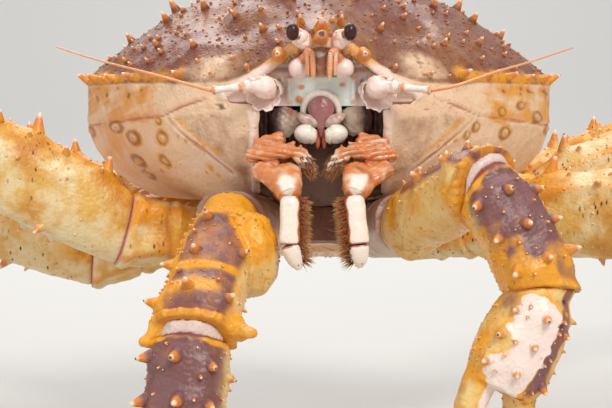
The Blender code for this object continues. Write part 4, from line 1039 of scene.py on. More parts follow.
def outlineRadius(angle):
    degrees = np.abs(np.degrees(np.arctan2(np.sin(angle), np.cos(angle))))
    return carapaceLook["width"] * readTable(outline, degrees)[..., 0]


def backHeight(x, y, t):
    brow = 0.0160 * bell(x, 0.0185) * t**4 * (y < 0)
    dome = carapaceLook["rise"] * np.maximum(1 - t * t, 0) ** 0.86
    gastric = 0.0070 * bell(np.hypot(x / 0.026, (y + 0.042) / 0.024), 1)
    branchial = 0.0050 * bell(np.hypot((np.abs(x) - 0.048) / 0.026, (y - 0.018) / 0.036), 1)
    cardiac = 0.0045 * bell(np.hypot(x / 0.015, (y - 0.038) / 0.018), 1)
    ring = np.hypot(x / 0.040, (y + 0.040) / 0.036)
    neck = 0.0045 * bell(ring - 1, 0.15) * np.where(y > -0.055, 1, bell(y + 0.055, 0.012))
    heart = 0.0040 * bell(np.abs(x) - 0.022, 0.006) * bell(y - 0.040, 0.034)
    return carapaceLook["margin"] + brow + dome + (gastric + branchial + cardiac - neck - heart) * (1 - t**6)


def carapacePoint(angle, t):
    angle, t = np.broadcast_arrays(np.asarray(angle, float), np.asarray(t, float))
    radius = outlineRadius(angle)
    inner = np.minimum(t, 1)
    x, y = radius * inner * np.sin(angle), -radius * inner * np.cos(angle)
    height = backHeight(x, y, inner)
    fall = np.maximum(t - 1, 0)
    wider = radius + 0.0012 * np.sin(math.pi * np.minimum(fall * 1.4, 1)) - 0.0285 * fall**4
    drop = fall * carapaceLook["wall"] + (height - carapaceLook["margin"]) * fall
    onWall = t > 1
    return np.stack([
        np.where(onWall, wider * np.sin(angle), x), np.where(onWall, -wider * np.cos(angle), y),
        np.where(onWall, height - drop, height)], -1)


def carapaceNormal(angle, t, step=0.01):
    around = carapacePoint(angle + step, t) - carapacePoint(angle - step, t)
    down = carapacePoint(angle, min(t + step, 2)) - carapacePoint(angle, max(t - step, 0.001))
    return -unit(np.cross(around, down))


def placeOnBack(x, y):
    angle = math.atan2(x, -y)
    return angle, min(math.hypot(x, y) / float(outlineRadius(angle)), 0.98)


def carapaceRoots():
    look, found = carapaceLook, []
    for _, sign in sides:
        for x, y, length in regionSpines:
            angle, t = placeOnBack(sign * (x + draw.uniform(-0.002, 0.002)), y + draw.uniform(-0.002, 0.002))
            way = carapaceNormal(angle, t) + np.array((0, -0.25, 0))
            size = length * draw.uniform(0.85, 1.1) * look["regionScale"]
            found.append((carapacePoint(angle, t), way, size, length * 0.27))
        for degrees, length in edgeSpines:
            angle = sign * math.radians(degrees)
            way = np.array((math.sin(angle), -math.cos(angle), 0.45))
            size = length * draw.uniform(0.9, 1.1) * look["edgeScale"]
            found.append((carapacePoint(angle, 1.0), way, size, length * 0.20))
    return found


def scatteredRoots(roots):  # small spines spread between the large ones
    found, taken = [], [root[0] for root in roots]
    while len(found) < carapaceLook["scattered"]:
        angle, t = loose.uniform(-math.pi, math.pi), math.sqrt(loose.uniform(0.004, 1.06))
        length = loose.uniform(0.0011, 0.0029)
        point = carapacePoint(angle, t)
        if all(np.linalg.norm(point - other) > carapaceLook["spacing"] for other in taken):
            taken.append(point)
            found.append((point, carapaceNormal(angle, t) + np.array((0, -0.2, 0)), length, length * 0.46))
    return found


def rostrumSpines():  # root, way, length, radius, and where the dark tip starts
    found = [(np.array((0, -0.080, 0.1812)), (0, -0.0325, 0.0010), 0.0325, 0.0037, 0.78),
             (np.array((0, -0.0900, 0.1840)), (0, -0.92, 0.42), 0.0095, 0.0029, 2.0)]
    for _, sign in sides:
        low, high = mirrored((0.0150, -0.0885, 0.1755), sign), mirrored((0.0070, -0.0800, 0.1865), sign)
        found += [(low, (sign * 0.05, -1, 0.02), 0.0100, 0.0027, 0.93),
                  (high, (sign * 0.10, -0.7, 0.6), 0.0060, 0.0018, 2.0)]
    return found


def hollowCutter():  # the face's outline, drawn along y
    steps = np.linspace(0, len(faceArch) - 1, 60)
    half = readTable([(i, *point) for i, point in enumerate(faceArch)], steps).tolist()
    whole = [(-x, z) for x, z in reversed(half[1:])] + half
    count = len(whole)
    faces = [(k, (k + 1) % count, count + (k + 1) % count, count + k) for k in range(count)]
    faces += [tuple(reversed(range(count))), tuple(range(count, 2 * count))]
    return Skin([(x, carapaceLook[cut], z) for cut in ("cutFront", "cutBack") for x, z in whole], faces)


def carapaceForm():
    look = carapaceLook
    angles = np.arange(look["around"]) / look["around"] * tau
    angles = angles - 0.35 * np.sin(angles)  # closer together in front
    back = np.linspace(0.012, 1, look["back"], endpoint=False) ** 0.85
    rings = carapacePoint(angles, np.concatenate([back, 1 + np.linspace(0, 1, look["side"])])[:, None])
    closing = [rings[-1:] * np.array((size, size, 1)) for size in (0.6, 0.2)]
    skin = gridSkin(np.concatenate([rings, *closing]))
    skin.points[-2] = carapacePoint(0.0, 0.0)
    return carved(skin, hollowCutter())


def ringMarks(p, angle, onWall, lift):  # the brown rings and orange freckles of the side walls
    spots, warm, around = 0 * angle, 0 * angle, carapaceLook["wallRadius"]
    for side, sign in sides:
        for degrees, level, size in ringSpots[side]:
            narrow = max(math.cos(math.radians(degrees)), 0.4)
            along = (angle - sign * math.radians(degrees)) * around * narrow
            distance = np.hypot(along, p[:, 2] - level) / size
            distance = distance + 0.10 * ripple(p, 0.004, int(degrees))
            near = onWall * (distance < 4)
            lift = lift + (0.0008 * bell(distance, 0.42) - 0.0002 * bell(distance - 0.8, 0.3)) * near
            spots = highest(spots, 0.58 * bell(distance - 0.66, 0.38) * near)
            warm = highest(warm, (0.70 * bell(distance, 0.34) + 0.66 * bell(distance - 0.80, 0.42)) * near)
        for degrees, level, size in freckles:
            distance = np.hypot((angle - sign * math.radians(degrees)) * around, p[:, 2] - level)
            warm = highest(warm, bell(distance, size) * onWall)
    return lift, spots, warm


def carapaceMarks(p, roots, small):
    angle = np.arctan2(p[:, 0], -p[:, 1])
    radius = outlineRadius(angle)
    share = np.hypot(p[:, 0], p[:, 1]) / radius
    degrees, z, wide = np.degrees(angle), p[:, 2], np.abs(p[:, 0])
    away, margin, around = np.abs(degrees), share > 0.9, carapaceLook["wallRadius"]
    below = backHeight(radius * np.sin(angle), -radius * np.cos(angle), np.ones(len(p))) - z
    onWall = ramp(below, 0.0005, 0.004) * (share > 0.6)
    front = (p[:, 1] < -0.060) * (share > 0.8)
    flat, arc = np.stack([wide, z], 1), np.stack([np.abs(angle) * around, z], 1)
    seams = [lineDistance(arc, [(math.radians(a) * around, level) for a, level in line]) for line in wallSeams]
    seam = np.minimum.reduce(seams) + 0.0004 * ripple(p, 0.012, 8)
    archBand = bell(lineDistance(flat, faceArch[1:6]) - 0.0014, 0.0019) * front * ramp(z, 0.1585, 0.1610)
    rimBand = bell(lineDistance(flat, faceArch[7:]) - 0.0012, 0.0014) * front * onWall
    rimBand = rimBand * ramp(-z, -0.1572, -0.1555)
    lift = bosses(p, roots, 0.16, 1.8) + bosses(p, small, 0.20, 1.8)
    lift = lift + 0.0006 * ripple(p, 0.020, 3) * (1 - onWall * 0.5) + 0.00018 * ripple(p, 0.006, 4)
    lift = lift - 0.0008 * bell(seam, 0.0006) * onWall + 0.0005 * bell(seam, 0.0028) * onWall
    lift = lift + 0.0011 * archBand + 0.0012 * rimBand
    lift, spots, warm = ringMarks(p, angle, onWall, lift)
    flatter = p * (0.6, 0.6, 1.5)
    cloud, fleck = ripple(flatter, 0.012, 31), ripple(flatter, 0.0042, 32)
    band = onWall * ramp(z - 0.1500 - 0.0045 * bell(away - 30, 14), -0.0004, 0.0012)  # above the seam
    lower = onWall * (1 - band)
    gold = ramp(away, 38, 56)
    seamAt = np.interp(z, (0.1330, 0.1390, 0.1455, 0.1530), (24, 29, 35, 42))
    inner = lower * ramp(seamAt - away, 0, 3)  # between the seam and the mouth
    brow = (1 - onWall) * ramp(share, 0.84, 0.96) * bell(away - 27, 12)
    nearEyes = ramp(z, 0.1690, 0.1735)
    patch = bell(np.hypot((away - 32) * 0.00154 / 0.0044, (z - 0.1500) / 0.0065), 1)
    # painted shade: the inside of the face's hollow and the carapace's front below the mouth are darkened fully
    # through the spots mark
    paintedHollowShade = ((p[:, 1] > -0.0668) & (p[:, 1] < -0.0652) & (wide < 0.0240))
    paintedHollowShade = paintedHollowShade | ((p[:, 1] < -0.060) & (z < 0.1222) & (wide < 0.0225))
    warm = highest(
        warm, band * gold * (0.62 + 0.30 * cloud + 0.16 * fleck),
        lower * ramp(-degrees, 50, 74) * (0.56 + 0.12 * cloud),
        (0.72 + 0.2 * fleck) * bell(below, 0.0035) * ramp(away, 34, 42) * margin,
        0.55 * inner * bell(seamAt - away - 3.5, 2.4) * ramp(z, 0.134, 0.142),
        0.8 * bell(away - 39, 4) * bell(below + 0.001, 0.0035) * margin, archBand * nearEyes * 0.9,
        0.42 * front * bell(wide, 0.0075) * ramp(z, 0.1765, 0.1800))
    spots = highest(
        spots, 0.62 * band * gold * bell(below - 0.006, 0.006) * ramp(fleck + cloud * 0.6, 0.15, 0.80),
        0.9 * bell(away - 24.5, 3.4) * bell(z - 0.1571, 0.0014) * ramp(fleck, -0.5, 0.3) * onWall,
        0.42 * patch * onWall * (0.75 + 0.25 * cloud), paintedHollowShade * (z < 0.1560),
        0.60 * brow * ramp(fleck, 0.25, 0.70))
    pale = highest(
        archBand * (1 - 0.6 * nearEyes), rimBand * 0.75,
        lower * (1 - inner) * (0.34 + 0.16 * cloud) * ramp(90 - away, 10, 40) - warm)
    greyed = 0.44 * inner * (0.9 + 0.15 * cloud) * ramp(away, 15, 17.5)
    greyed = greyed + 0.36 * band * (1 - gold) * (0.6 + 0.4 * cloud)
    return lift, dict(
        side=(1 - onWall) * (1 - 0.62 * brow) - 0.9 * archBand + greyed, spots=spots, warm=warm, pale=pale,
        deep=0.9 * bell(seam, 0.0005) * onWall, grain=(1 - onWall) * (1 - archBand))


def carapace():
    skin = carapaceForm()
    roots = carapaceRoots()
    small = scatteredRoots(roots)
    lift, marks = carapaceMarks(skin.points, roots, small)
    skin.raised(lift).set(**marks)
    parts = [skin, *spinesOf(roots, skin), *spinesOf(small, skin, 0.0)]
    for root, way, length, radius, dark in rostrumSpines():
        horn = spine(root, way, length, radius, 18)
        parts.append(horn.set(warm=0.7, side=0.6, spots=ramp(horn.marks["tip"], dark, dark + 0.08)))
    piece("carapace_shell", joined(parts), backFinish, carapaceLook["grains"])


carapace()
print("stage: carapace")


# face: the plate between the eyes and the mouth, with what it carries

faceLook = dict(
    halfWidths=((0.1572, 0.0245), (0.1585, 0.0325), (0.1608, 0.0340), (0.1632, 0.0300), (0.1660, 0.0240),
                (0.1712, 0.0170), (0.1765, 0.0100), (0.1785, 0.0006)),
    front=-0.0812, ribX=0.0116, spots=((-0.0070, 0.1642), (0.0077, 0.1651)), lump=(-0.0079, 0.1599),
    lumps=((0.0052, 0.1778, 0.0026), (0.0094, 0.1762, 0.0022), (0.0128, 0.1748, 0.0022)),
    cup=(0.0196, -0.0842, 0.1630), cupAxis=(0.16, -0.96, -0.16), cupSize=0.82, rows=150, columns=220,
)


def slabSkin(front, back):  # two sheets of points with one layout, joined round their border
    rows, columns = front.shape[:2]
    index = np.arange(rows * columns).reshape(rows, columns)
    sheet = np.stack([index[:-1, :-1], index[:-1, 1:], index[1:, 1:], index[1:, :-1]], -1).reshape(-1, 4)
    count = rows * columns
    faces = sheet.tolist() + (sheet + count)[:, ::-1].tolist()
    border = np.concatenate([index[0], index[1:, -1], index[-1, -2::-1], index[-2:0:-1, 0]]).tolist()
    for a, b in zip(border, border[1:] + border[:1]):
        faces.append((b, a, a + count, b + count))
    return Skin(np.concatenate([front.reshape(-1, 3), back.reshape(-1, 3)]), faces).outward()


def facePlate():
    look = faceLook
    v = np.linspace(0, 1, look["rows"])[:, None]
    z = (0.1574 + (0.1783 - 0.1574) * v) * np.ones(look["columns"])
    x = np.linspace(-1, 1, look["columns"]) * (readTable(look["halfWidths"], z)[..., 0] - 0.0004)
    wide = np.abs(x)
    y = look["front"] - 0.0016 * bell(x, 0.0125) * bell(z - 0.1640, 0.0052)
    y = y - 0.0013 * bell(wide - look["ribX"], 0.0010) * ramp(z, 0.1580, 0.1600) * ramp(-z, -0.1685, -0.1665)
    y = y + 0.0012 * bell(wide - 0.0140, 0.0014) * bell(z - 0.1625, 0.004)
    y = y + 0.0022 * ramp(z, 0.1690, 0.1715) - 0.0012 * bell(z - 0.1676, 0.0011) * bell(x, 0.014)
    y = y - 0.0016 * bell(np.hypot(x - look["lump"][0], z - look["lump"][1]), 0.0013)
    points = np.stack([x, y, z], -1)
    points[..., 1] += 0.00025 * ripple(points, 0.006, 5) + 0.0001 * ripple(points, 0.002, 6)
    back = points.copy()
    back[..., 1] = plateBack
    skin = slabSkin(points, back)
    p = skin.points
    warm = 0.9 * bell(np.hypot(p[:, 0] - look["lump"][0], p[:, 2] - look["lump"][1]), 0.0016)
    for spotX, spotZ in look["spots"]:
        warm = warm + 0.8 * bell(np.hypot((p[:, 0] - spotX) * 0.75, p[:, 2] - spotZ), 0.0012)
    frayed = 0.0017 * ripple(p, 0.005, 12)
    pale = ramp(np.abs(p[:, 0]) + frayed, 0.0098, 0.0130) * 0.9 + ramp(p[:, 2] + frayed, 0.1676, 0.1705)
    side = 0.9 * bell(np.abs(p[:, 0]) - 0.0150, 0.0016) * bell(p[:, 2] - 0.1640, 0.005)
    deep = ramp(np.abs(p[:, 0]), 0.0215, 0.0245) * ramp(-p[:, 2], -0.1600, -0.1580)
    skin.set(warm=warm, pale=pale - side, side=side, deep=deep)
    ridgeRows = ((0, 0.0026, 0.0020, 0.0020), (0.5, 0.0019, 0.0018, 0.0018), (1, 0.0012))

    def ridgeRelief(t, angle, fromStart, fromEnd, points):
        return 0.0003 * ripple(points, 0.003, 4), dict(
            side=0.55 + 0.3 * ripple(points, 0.004, 6), warm=0.45 * t)
    ridge = tube((0, -0.0900, 0.1812), (0, -0.0845, 0.1682), ridgeRows, 32, 40, ridgeRelief, (0, -1, 0.3))
    parts = [skin, ridge]
    for _, sign in sides:
        parts.append(antennaCup(sign))
        for x, z, size in look["lumps"]:
            lump = ballSkin(mirrored((x, -0.0835, z), sign), (size, size, size * 0.9), 16, 24)
            lump.raised(0.0003 * ripple(lump.points, 0.003, 4))
            parts.append(lump.set(warm=0.5 + 0.5 * ripple(lump.points, 0.003, 9), pale=0.45))
    piece("faceplate_shell", joined(parts), faceFinish)


def antennaCup(sign):  # frilled collar round the root of the long feeler
    around = np.arange(120) / 120 * tau
    frill = 0.05 * np.cos(around * 9 + sign) + 0.03 * np.cos(around * 17)
    profile = np.array(((0.0035, -0.004), (0.0046, -0.001), (0.0056, 0.0016), (0.0066, 0.0042), (0.0074, 0.0062),
                        (0.0077, 0.0070), (0.0074, 0.0073), (0.0068, 0.0062), (0.0058, 0.0036), (0.0045, 0.0014),
                        (0.0030, 0.0004), (0.0012, 0.0002)))
    steps = np.linspace(0, len(profile) - 1, 46)
    smooth = readTable([(i, *row) for i, row in enumerate(profile)], steps)
    flare = ramp(smooth[:, 1], 0.002, 0.007)[:, None]
    low = 1 + 0.05 * ramp(-np.sin(around), -0.2, 0.9)
    radius = smooth[:, :1] * (1 + frill * flare) * (1 + (low - 1) * flare)
    depth = smooth[:, 1:] + 0.0007 * np.cos(around * 9 + 1 + sign) * flare
    rings = np.stack([radius * np.cos(around), radius * np.sin(around), depth], -1)
    axis = unit(mirrored(faceLook["cupAxis"], sign))
    across = unit(np.cross((0, 0, 1), axis))
    axes = np.stack([across, np.cross(axis, across), axis], 1)
    edge = np.broadcast_to(bell(np.arange(46)[:, None] - 20, 3.5), radius.shape)
    marks = dict(pale=0.85 - 0.5 * edge, warm=0.55 * edge, side=0.2 + 0 * edge)
    return gridSkin(faceLook["cupSize"] * rings @ axes.T + mirrored(faceLook["cup"], sign), marks)


eyeLook = dict(
    stalkRoot=(0.0036, -0.0820, 0.1785), stalkEnd=(0.0078, -0.0938, 0.1815), knob=(0.0030, 0.0028, 0.0031),
    eye=(0.0101, -0.0968, 0.1832), radii=(0.0023, 0.0025, 0.0031), voxel=0.00030,
    stalkRows=((0, 0.0026, 0.0028, 0.0026), (0.5, 0.0031, 0.0032, 0.0031), (0.85, 0.0033, 0.0034, 0.0032),
               (1, 0.0024, 0.0026, 0.0024)),
)


def eyeAndStalk(side, sign):
    look = eyeLook
    root, end = mirrored(look["stalkRoot"], sign), mirrored(look["stalkEnd"], sign)
    lumps = [tube(root, end, look["stalkRows"], 40, 40), ballSkin(end, look["knob"]),
             ballSkin(end + (sign * -0.0014, 0.0006, -0.0022), (0.0024, 0.0022, 0.0020))]
    skin = melted(lumps, look["voxel"], 4)
    p = skin.points
    skin.raised(0.00018 * ripple(p, 0.004, 3) + 0.00008 * ripple(p, 0.0014, 4))
    collar = apart(p, mirrored(look["eye"], sign))
    warm = 0.50 + 0.45 * ripple(p, 0.005, 11) + 0.6 * ramp(p[:, 2], 0.1822, 0.1845)
    blush = 0.45 * ramp(ripple(p, 0.0032, 13), 0.15, 0.8)
    skin.set(pale=0.72 * ramp(-p[:, 1], 0.0865, 0.0905) - 0.5 * ramp(p[:, 2], 0.1825, 0.1850), warm=warm,
             deep=0.5 * bell(collar - 0.0030, 0.0004) + blush)
    piece(f"eyestalk_{side}_shell", skin, faceFinish)
    ball = ballSkin(mirrored(look["eye"], sign), look["radii"], 48, 64)
    piece(f"eye_{side}_cornea", ball, eyeFinish)


antennuleLook = dict(  # short inner feeler: a round base, two joints and two ringed lashes
    root=(0.0078, -0.0795, 0.1700), base=(0.0080, -0.0893, 0.1708), baseRadii=(0.0037, 0.0043, 0.0038),
    rootRows=((0, 0.0026), (1, 0.0030)), rows=((0, 0.0016), (1, 0.0013)), knuckle=0.0017, voxel=0.00028,
    joints=((0.0072, -0.0905, 0.1735), (0.0046, -0.0950, 0.1762), (0.0032, -0.0972, 0.1755)),
    flush=(0.0062, -0.0915, 0.1738), rings=13, ringDepth=0.00006,
    lashes=((0.0, 0.0098, 0.0009), (0.0019, 0.0080, 0.0007)),  # place outward, length and half width
)


def antennule(side, sign):
    look = antennuleLook
    base = mirrored(look["base"], sign)
    joints = [mirrored(point, sign) for point in look["joints"]]
    lumps = [ballSkin(base, look["baseRadii"]),
             tube(mirrored(look["root"], sign), base, look["rootRows"], 24, 12)]
    lumps += [tube(a, b, look["rows"], 24, 14) for a, b in zip(joints, joints[1:])]
    lumps.append(ballSkin(joints[1], (look["knuckle"],) * 3))
    skin = melted(lumps, look["voxel"], 4)
    p = skin.points
    warm = bell(apart(p, mirrored(look["flush"], sign)), 0.0026)
    warm = warm + ramp(apart(p, base), 0.0042, 0.0050)
    skin.raised(0.00012 * ripple(p, 0.003, 9)).set(warm=warm, pale=0.75 - 0.6 * warm)

    def rings(t, angle, fromStart, fromEnd, points):
        ring = np.cos(t * look["rings"] * tau)
        return look["ringDepth"] * ring, dict(warm=0.68 + 0.08 * ring, pale=0.15)
    parts = [skin]
    for offset, length, width in look["lashes"]:
        start = joints[2] + (sign * offset, 0.0004, 0.0006)
        rows = ((0, width), (0.6, width * 1.1, width, width), (1, width * 0.5, width * 0.4, width * 0.4))
        end = start + (sign * -0.0004, -0.0006, -length)
        parts.append(tube(start, end, rows, 20, 110, rings, (0, -1, 0)))
    piece(f"antennule_{side}_shell", joined(parts), faceFinish)


antennaLook = dict(
    joints=((0.0165, -0.0815, 0.1632), (0.0212, -0.0915, 0.1640), (0.0275, -0.0958, 0.1640),
            (0.0385, -0.0975, 0.1628)),
    cup=(0.0042, 0.0046, 0.0042), rootRows=((0, 0.0036), (1, 0.0038)), voxel=0.00030,
    narrowing=((0, 0.0030, 0.0028, 0.0028), (0.6, 0.0020), (0.8, 0.0025, 0.0024, 0.0024), (1, 0.0016)),
    lastRows=((0, 0.0013), (0.1, 0.0015, 0.0014, 0.0014), (0.6, 0.0012, 0.0011, 0.0011),
              (0.9, 0.0014, 0.0013, 0.0013), (1, 0.0011)),
    whipThick=0.00078, whipThin=0.00028, whipRings=84, whipSteps=420, whipAround=10,
)
whipPaths = dict(
    left=((0.0385, -0.0975, 0.1628), (0.0470, -0.0968, 0.1644), (0.0555, -0.0930, 0.1672),
          (0.0640, -0.0880, 0.1700), (0.0740, -0.0800, 0.1728), (0.0860, -0.0690, 0.1765),
          (0.0960, -0.0560, 0.1795)),
    right=((-0.0385, -0.0975, 0.1628), (-0.0470, -0.0962, 0.1650), (-0.0545, -0.0925, 0.1672),
           (-0.0660, -0.0850, 0.1702), (-0.0790, -0.0740, 0.1735), (-0.0905, -0.0640, 0.1768),
           (-0.1005, -0.0540, 0.1800)),
)


def antenna(side, sign):
    look = antennaLook
    joints = [mirrored(point, sign) for point in look["joints"]]
    skin = melted([
        ballSkin(joints[1] + (sign * -0.0012, 0.0012, 0), look["cup"]),
        tube(joints[0], joints[1], look["rootRows"], 24, 14),
        tube(joints[1], joints[2], look["narrowing"], 24, 24),
    ], look["voxel"], 3)
    p = skin.points
    warm = bell(apart(p, joints[1] + (sign * 0.0012, -0.0012, 0.0038)), 0.0030)
    warm = warm + ramp(apart(p, joints[1]), 0.0050, 0.0062) * (0.5 + 0.4 * ripple(p, 0.003, 2))
    skin.raised(0.00012 * ripple(p, 0.003, 7)).set(warm=warm * 0.8, pale=0.85 - 0.45 * warm)

    def last(t, angle, fromStart, fromEnd, points):
        collar = bell(fromEnd - 0.0008, 0.0006) + bell(fromStart - 0.0010, 0.0008)
        return 0.0004 * collar + 0.0001 * ripple(points, 0.002, 3), dict(
            pale=0.62 - 0.5 * collar, warm=0.34 + 0.4 * collar + 0.3 * ripple(points, 0.003, 5),
            deep=0.22 + 0 * t)
    stem = tube(joints[2], joints[3], look["lastRows"], 28, 60, last)
    spines = [spine(joints[1] + (sign * 0.0026, -0.0028, 0.0008), (sign, -0.5, 0.3), 0.0030, 0.0009),
              spine(joints[1] + (sign * 0.0030, -0.0010, 0.0026), (sign, -0.2, 0.6), 0.0026, 0.0008)]
    spines = [thorn.set(pale=0.7, warm=0.4) for thorn in spines]
    piece(f"antenna_base_{side}_shell", joined([skin, stem, *spines]), faceFinish)
    path = whipPaths[side]
    steps = np.linspace(0, 1, look["whipSteps"])
    line = readTable([(i / (len(path) - 1), *point) for i, point in enumerate(path)], steps)
    ways = np.gradient(line, axis=0)
    ways /= np.linalg.norm(ways, axis=1)[:, None]
    across = np.cross(ways, (0, 0, 1))
    across /= np.linalg.norm(across, axis=1)[:, None]
    lift = np.cross(across, ways)
    ring = np.cos(steps * look["whipRings"] * tau)
    thick, count = look["whipThick"], look["whipAround"]
    radius = (thick + (look["whipThin"] - thick) * steps**0.6) * (1 + 0.06 * ring)
    around = (np.arange(count) / count * tau)[:, None]
    rings = line[:, None] + radius[:, None, None] * (
        across[:, None] * np.cos(around) + lift[:, None] * np.sin(around))
    whip = gridSkin(rings, dict(warm=(0.78 + 0.14 * ring)[:, None]))
    piece(f"antenna_whip_{side}_shell", whip, faceFinish)


# mouth and jaws

mouthLook = dict(
    plateHeights=(0.1424, 0.1566), plateHalf=0.0226,
    lip=((0, -0.0815, 0.1610), (0, -0.0846, 0.1462)),
    lipRows=((0, 0.0028, 0.0028, 0.003), (0.10, 0.0043, 0.0036, 0.003), (0.32, 0.0050, 0.0042, 0.003),
             (0.55, 0.0036, 0.0040, 0.003), (0.75, 0.0016, 0.0024, 0.003), (1, 0.0008, 0.0010, 0.002)),
    archCentre=(0, -0.0836, 0.1556), archRadii=(0.0064, 0.0064), archThick=0.0013,
    lobe=(0.0046, -0.0840, 0.1523), lobeRadii=(0.0045, 0.0026, 0.0021), lobeTilt=25,
    tooth=(0.0053, -0.0846, 0.1474), toothRadii=(0.0044, 0.0040, 0.0036),
    cheek=(0.0125, -0.0800, 0.1520), cheekRadii=(0.0062, 0.0030, 0.0056),
)


def mouth():
    look = mouthLook
    (low, high), half = look["plateHeights"], look["plateHalf"]
    z = (low + (high - low) * np.linspace(0, 1, 70)[:, None]) * np.ones(150)
    x = np.linspace(-half, half, 150) * np.ones((70, 1))
    y = -0.0775 - 0.0008 * np.cos(x * 2200) * bell(np.abs(x) - 0.014, 0.007) + 0.0012 * ramp(-z, -0.147, -0.143)
    points = np.stack([x, y, z], -1)
    points[..., 1] += 0.0005 * ripple(points, 0.005, 21)
    back = points.copy()
    back[..., 1] = plateBack
    # painted shade: the sheet behind the mouthparts takes the mouth finish's dark side colour throughout, standing
    # for the shadow inside the mouth
    wall = slabSkin(points, back).set(side=1.0)
    lip = Limb(*look["lip"], (0, -1, 0), look["lipRows"], square=2.0)

    def lipRelief(t, angle, fromStart, fromEnd, points):
        dent = bell(t - 0.55, 0.16) * bell(turned(angle, math.pi / 2), 0.7)
        return -0.0006 * dent + 0.0001 * ripple(points, 0.002, 5), dict(
            deep=0.75 + 0.25 * dent, spots=ramp(t, 0.70, 0.85) * 0.55)
    parts = [wall, limbSkin(lip, 72, 90, lipRelief)]
    around = np.linspace(-112, 112, 70) * math.pi / 180
    centre, radii = np.array(look["archCentre"]), look["archRadii"]
    line = np.stack([centre[0] + radii[0] * np.sin(around), centre[1] + 0.0016 * (1 - np.cos(around)),
                     centre[2] + radii[1] * np.cos(around)], -1)
    turn = (np.arange(20) / 20 * tau)[:, None]
    thick = look["archThick"] * (0.75 + 0.35 * np.cos(around * 0.75))[:, None, None]
    outward = np.stack([np.sin(around), 0 * around, np.cos(around)], -1)[:, None]
    rings = line[:, None] + thick * (outward * np.cos(turn) + np.array((0, -1.2, 0)) * np.sin(turn))
    parts.append(gridSkin(rings, dict(pale=1.0)))
    for _, sign in sides:
        tilt = Matrix.Rotation(math.radians(-sign * look["lobeTilt"]), 3, "Y")
        lobe = ballSkin(mirrored(look["lobe"], sign), look["lobeRadii"], 30, 44, tilt)
        lobe.raised(0.0002 * ripple(lobe.points, 0.003, 2))
        lobe.set(deep=0.48, pale=0.5 + 0.2 * ripple(lobe.points, 0.003, 7),
                 warm=0.7 * bell(np.abs(lobe.points[:, 0]) - 0.0080, 0.0010))
        tooth = ballSkin(mirrored(look["tooth"], sign), look["toothRadii"], 36, 48)
        q = tooth.points
        tooth.points[:, 2] = np.where(np.abs(q[:, 0]) < 0.0035, q[:, 2] - 0.0006, q[:, 2])
        inner = ramp(-np.abs(q[:, 0]), -0.0022, -0.0010)
        tooth.set(pale=1 - inner, warm=0.55 * ramp(np.abs(q[:, 0]), 0.0070, 0.0090) + inner)
        cheek = ballSkin(mirrored(look["cheek"], sign), look["cheekRadii"], 40, 56)
        cheek.raised(0.0011 * ripple(cheek.points, 0.008, 14) + 0.0003 * ripple(cheek.points, 0.0025, 15))
        # painted shade: each cheek darkens towards its outer side, into the gap beside the mouthparts
        outer = ramp(np.abs(cheek.points[:, 0]), 0.0120, 0.0175)
        cheek.set(side=0.28 + 0.5 * outer, pale=0.18, warm=0.45 * ramp(ripple(cheek.points, 0.006, 31), 0.2, 0.9))
        tissue = ballSkin(mirrored((0.0012, -0.0838, 0.1455), sign), (0.0010, 0.0012, 0.0036), 16, 20)
        parts += [lobe, tooth, cheek, tissue.set(warm=1.0)]
    piece("mouth_flesh", joined(parts), mouthFinish)


outerJaw = dict(
    left=((0.0130, plateBack, 0.1240), (0.0150, -0.0920, 0.1350), (0.0112, -0.1040, 0.1262),
          (0.0129, -0.1070, 0.1096), (0.0136, -0.1065, 0.1015)),
    right=((0.0130, plateBack, 0.1240), (0.0142, -0.0920, 0.1345), (0.0108, -0.1040, 0.1260),
           (0.0110, -0.1070, 0.1094), (0.0080, -0.1065, 0.1007)),
)
innerJaw = ((0.0140, plateBack, 0.1388), (0.0185, -0.0850, 0.1415), (0.0245, -0.0912, 0.1400),
            (0.0092, -0.0930, 0.1422), (0.0030, -0.0935, 0.1340))
jawRows = dict(
    arm=((0, 0.0040, 0.0026, 0.0026), (0.4, 0.0050, 0.0032, 0.0030), (0.8, 0.0052, 0.0032, 0.0030),
         (1, 0.0046, 0.0030, 0.0026)),
    shield=((0, 0.0056, 0.0030, 0.0026), (0.2, 0.0068, 0.0036, 0.0030), (0.6, 0.0056, 0.0036, 0.0032),
            (0.95, 0.0040, 0.0031, 0.0028), (1, 0.0036, 0.0028, 0.0026)),
    palp=((0, 0.0030, 0.0026, 0.0026), (0.12, 0.0036, 0.0030, 0.0028), (0.55, 0.0035, 0.0031, 0.0029),
          (0.93, 0.0037, 0.0030, 0.0028), (1, 0.0032, 0.0026, 0.0025)),
    last=((0, 0.0031, 0.0026, 0.0025), (0.2, 0.0034, 0.0028, 0.0027), (0.7, 0.0025, 0.0021, 0.0020),
          (1, 0.0007, 0.0008, 0.0008)),
)


def jawSegment(a, b, rows):
    return Limb(a, b, (0, -1, 0.3), rows, square=2.3)


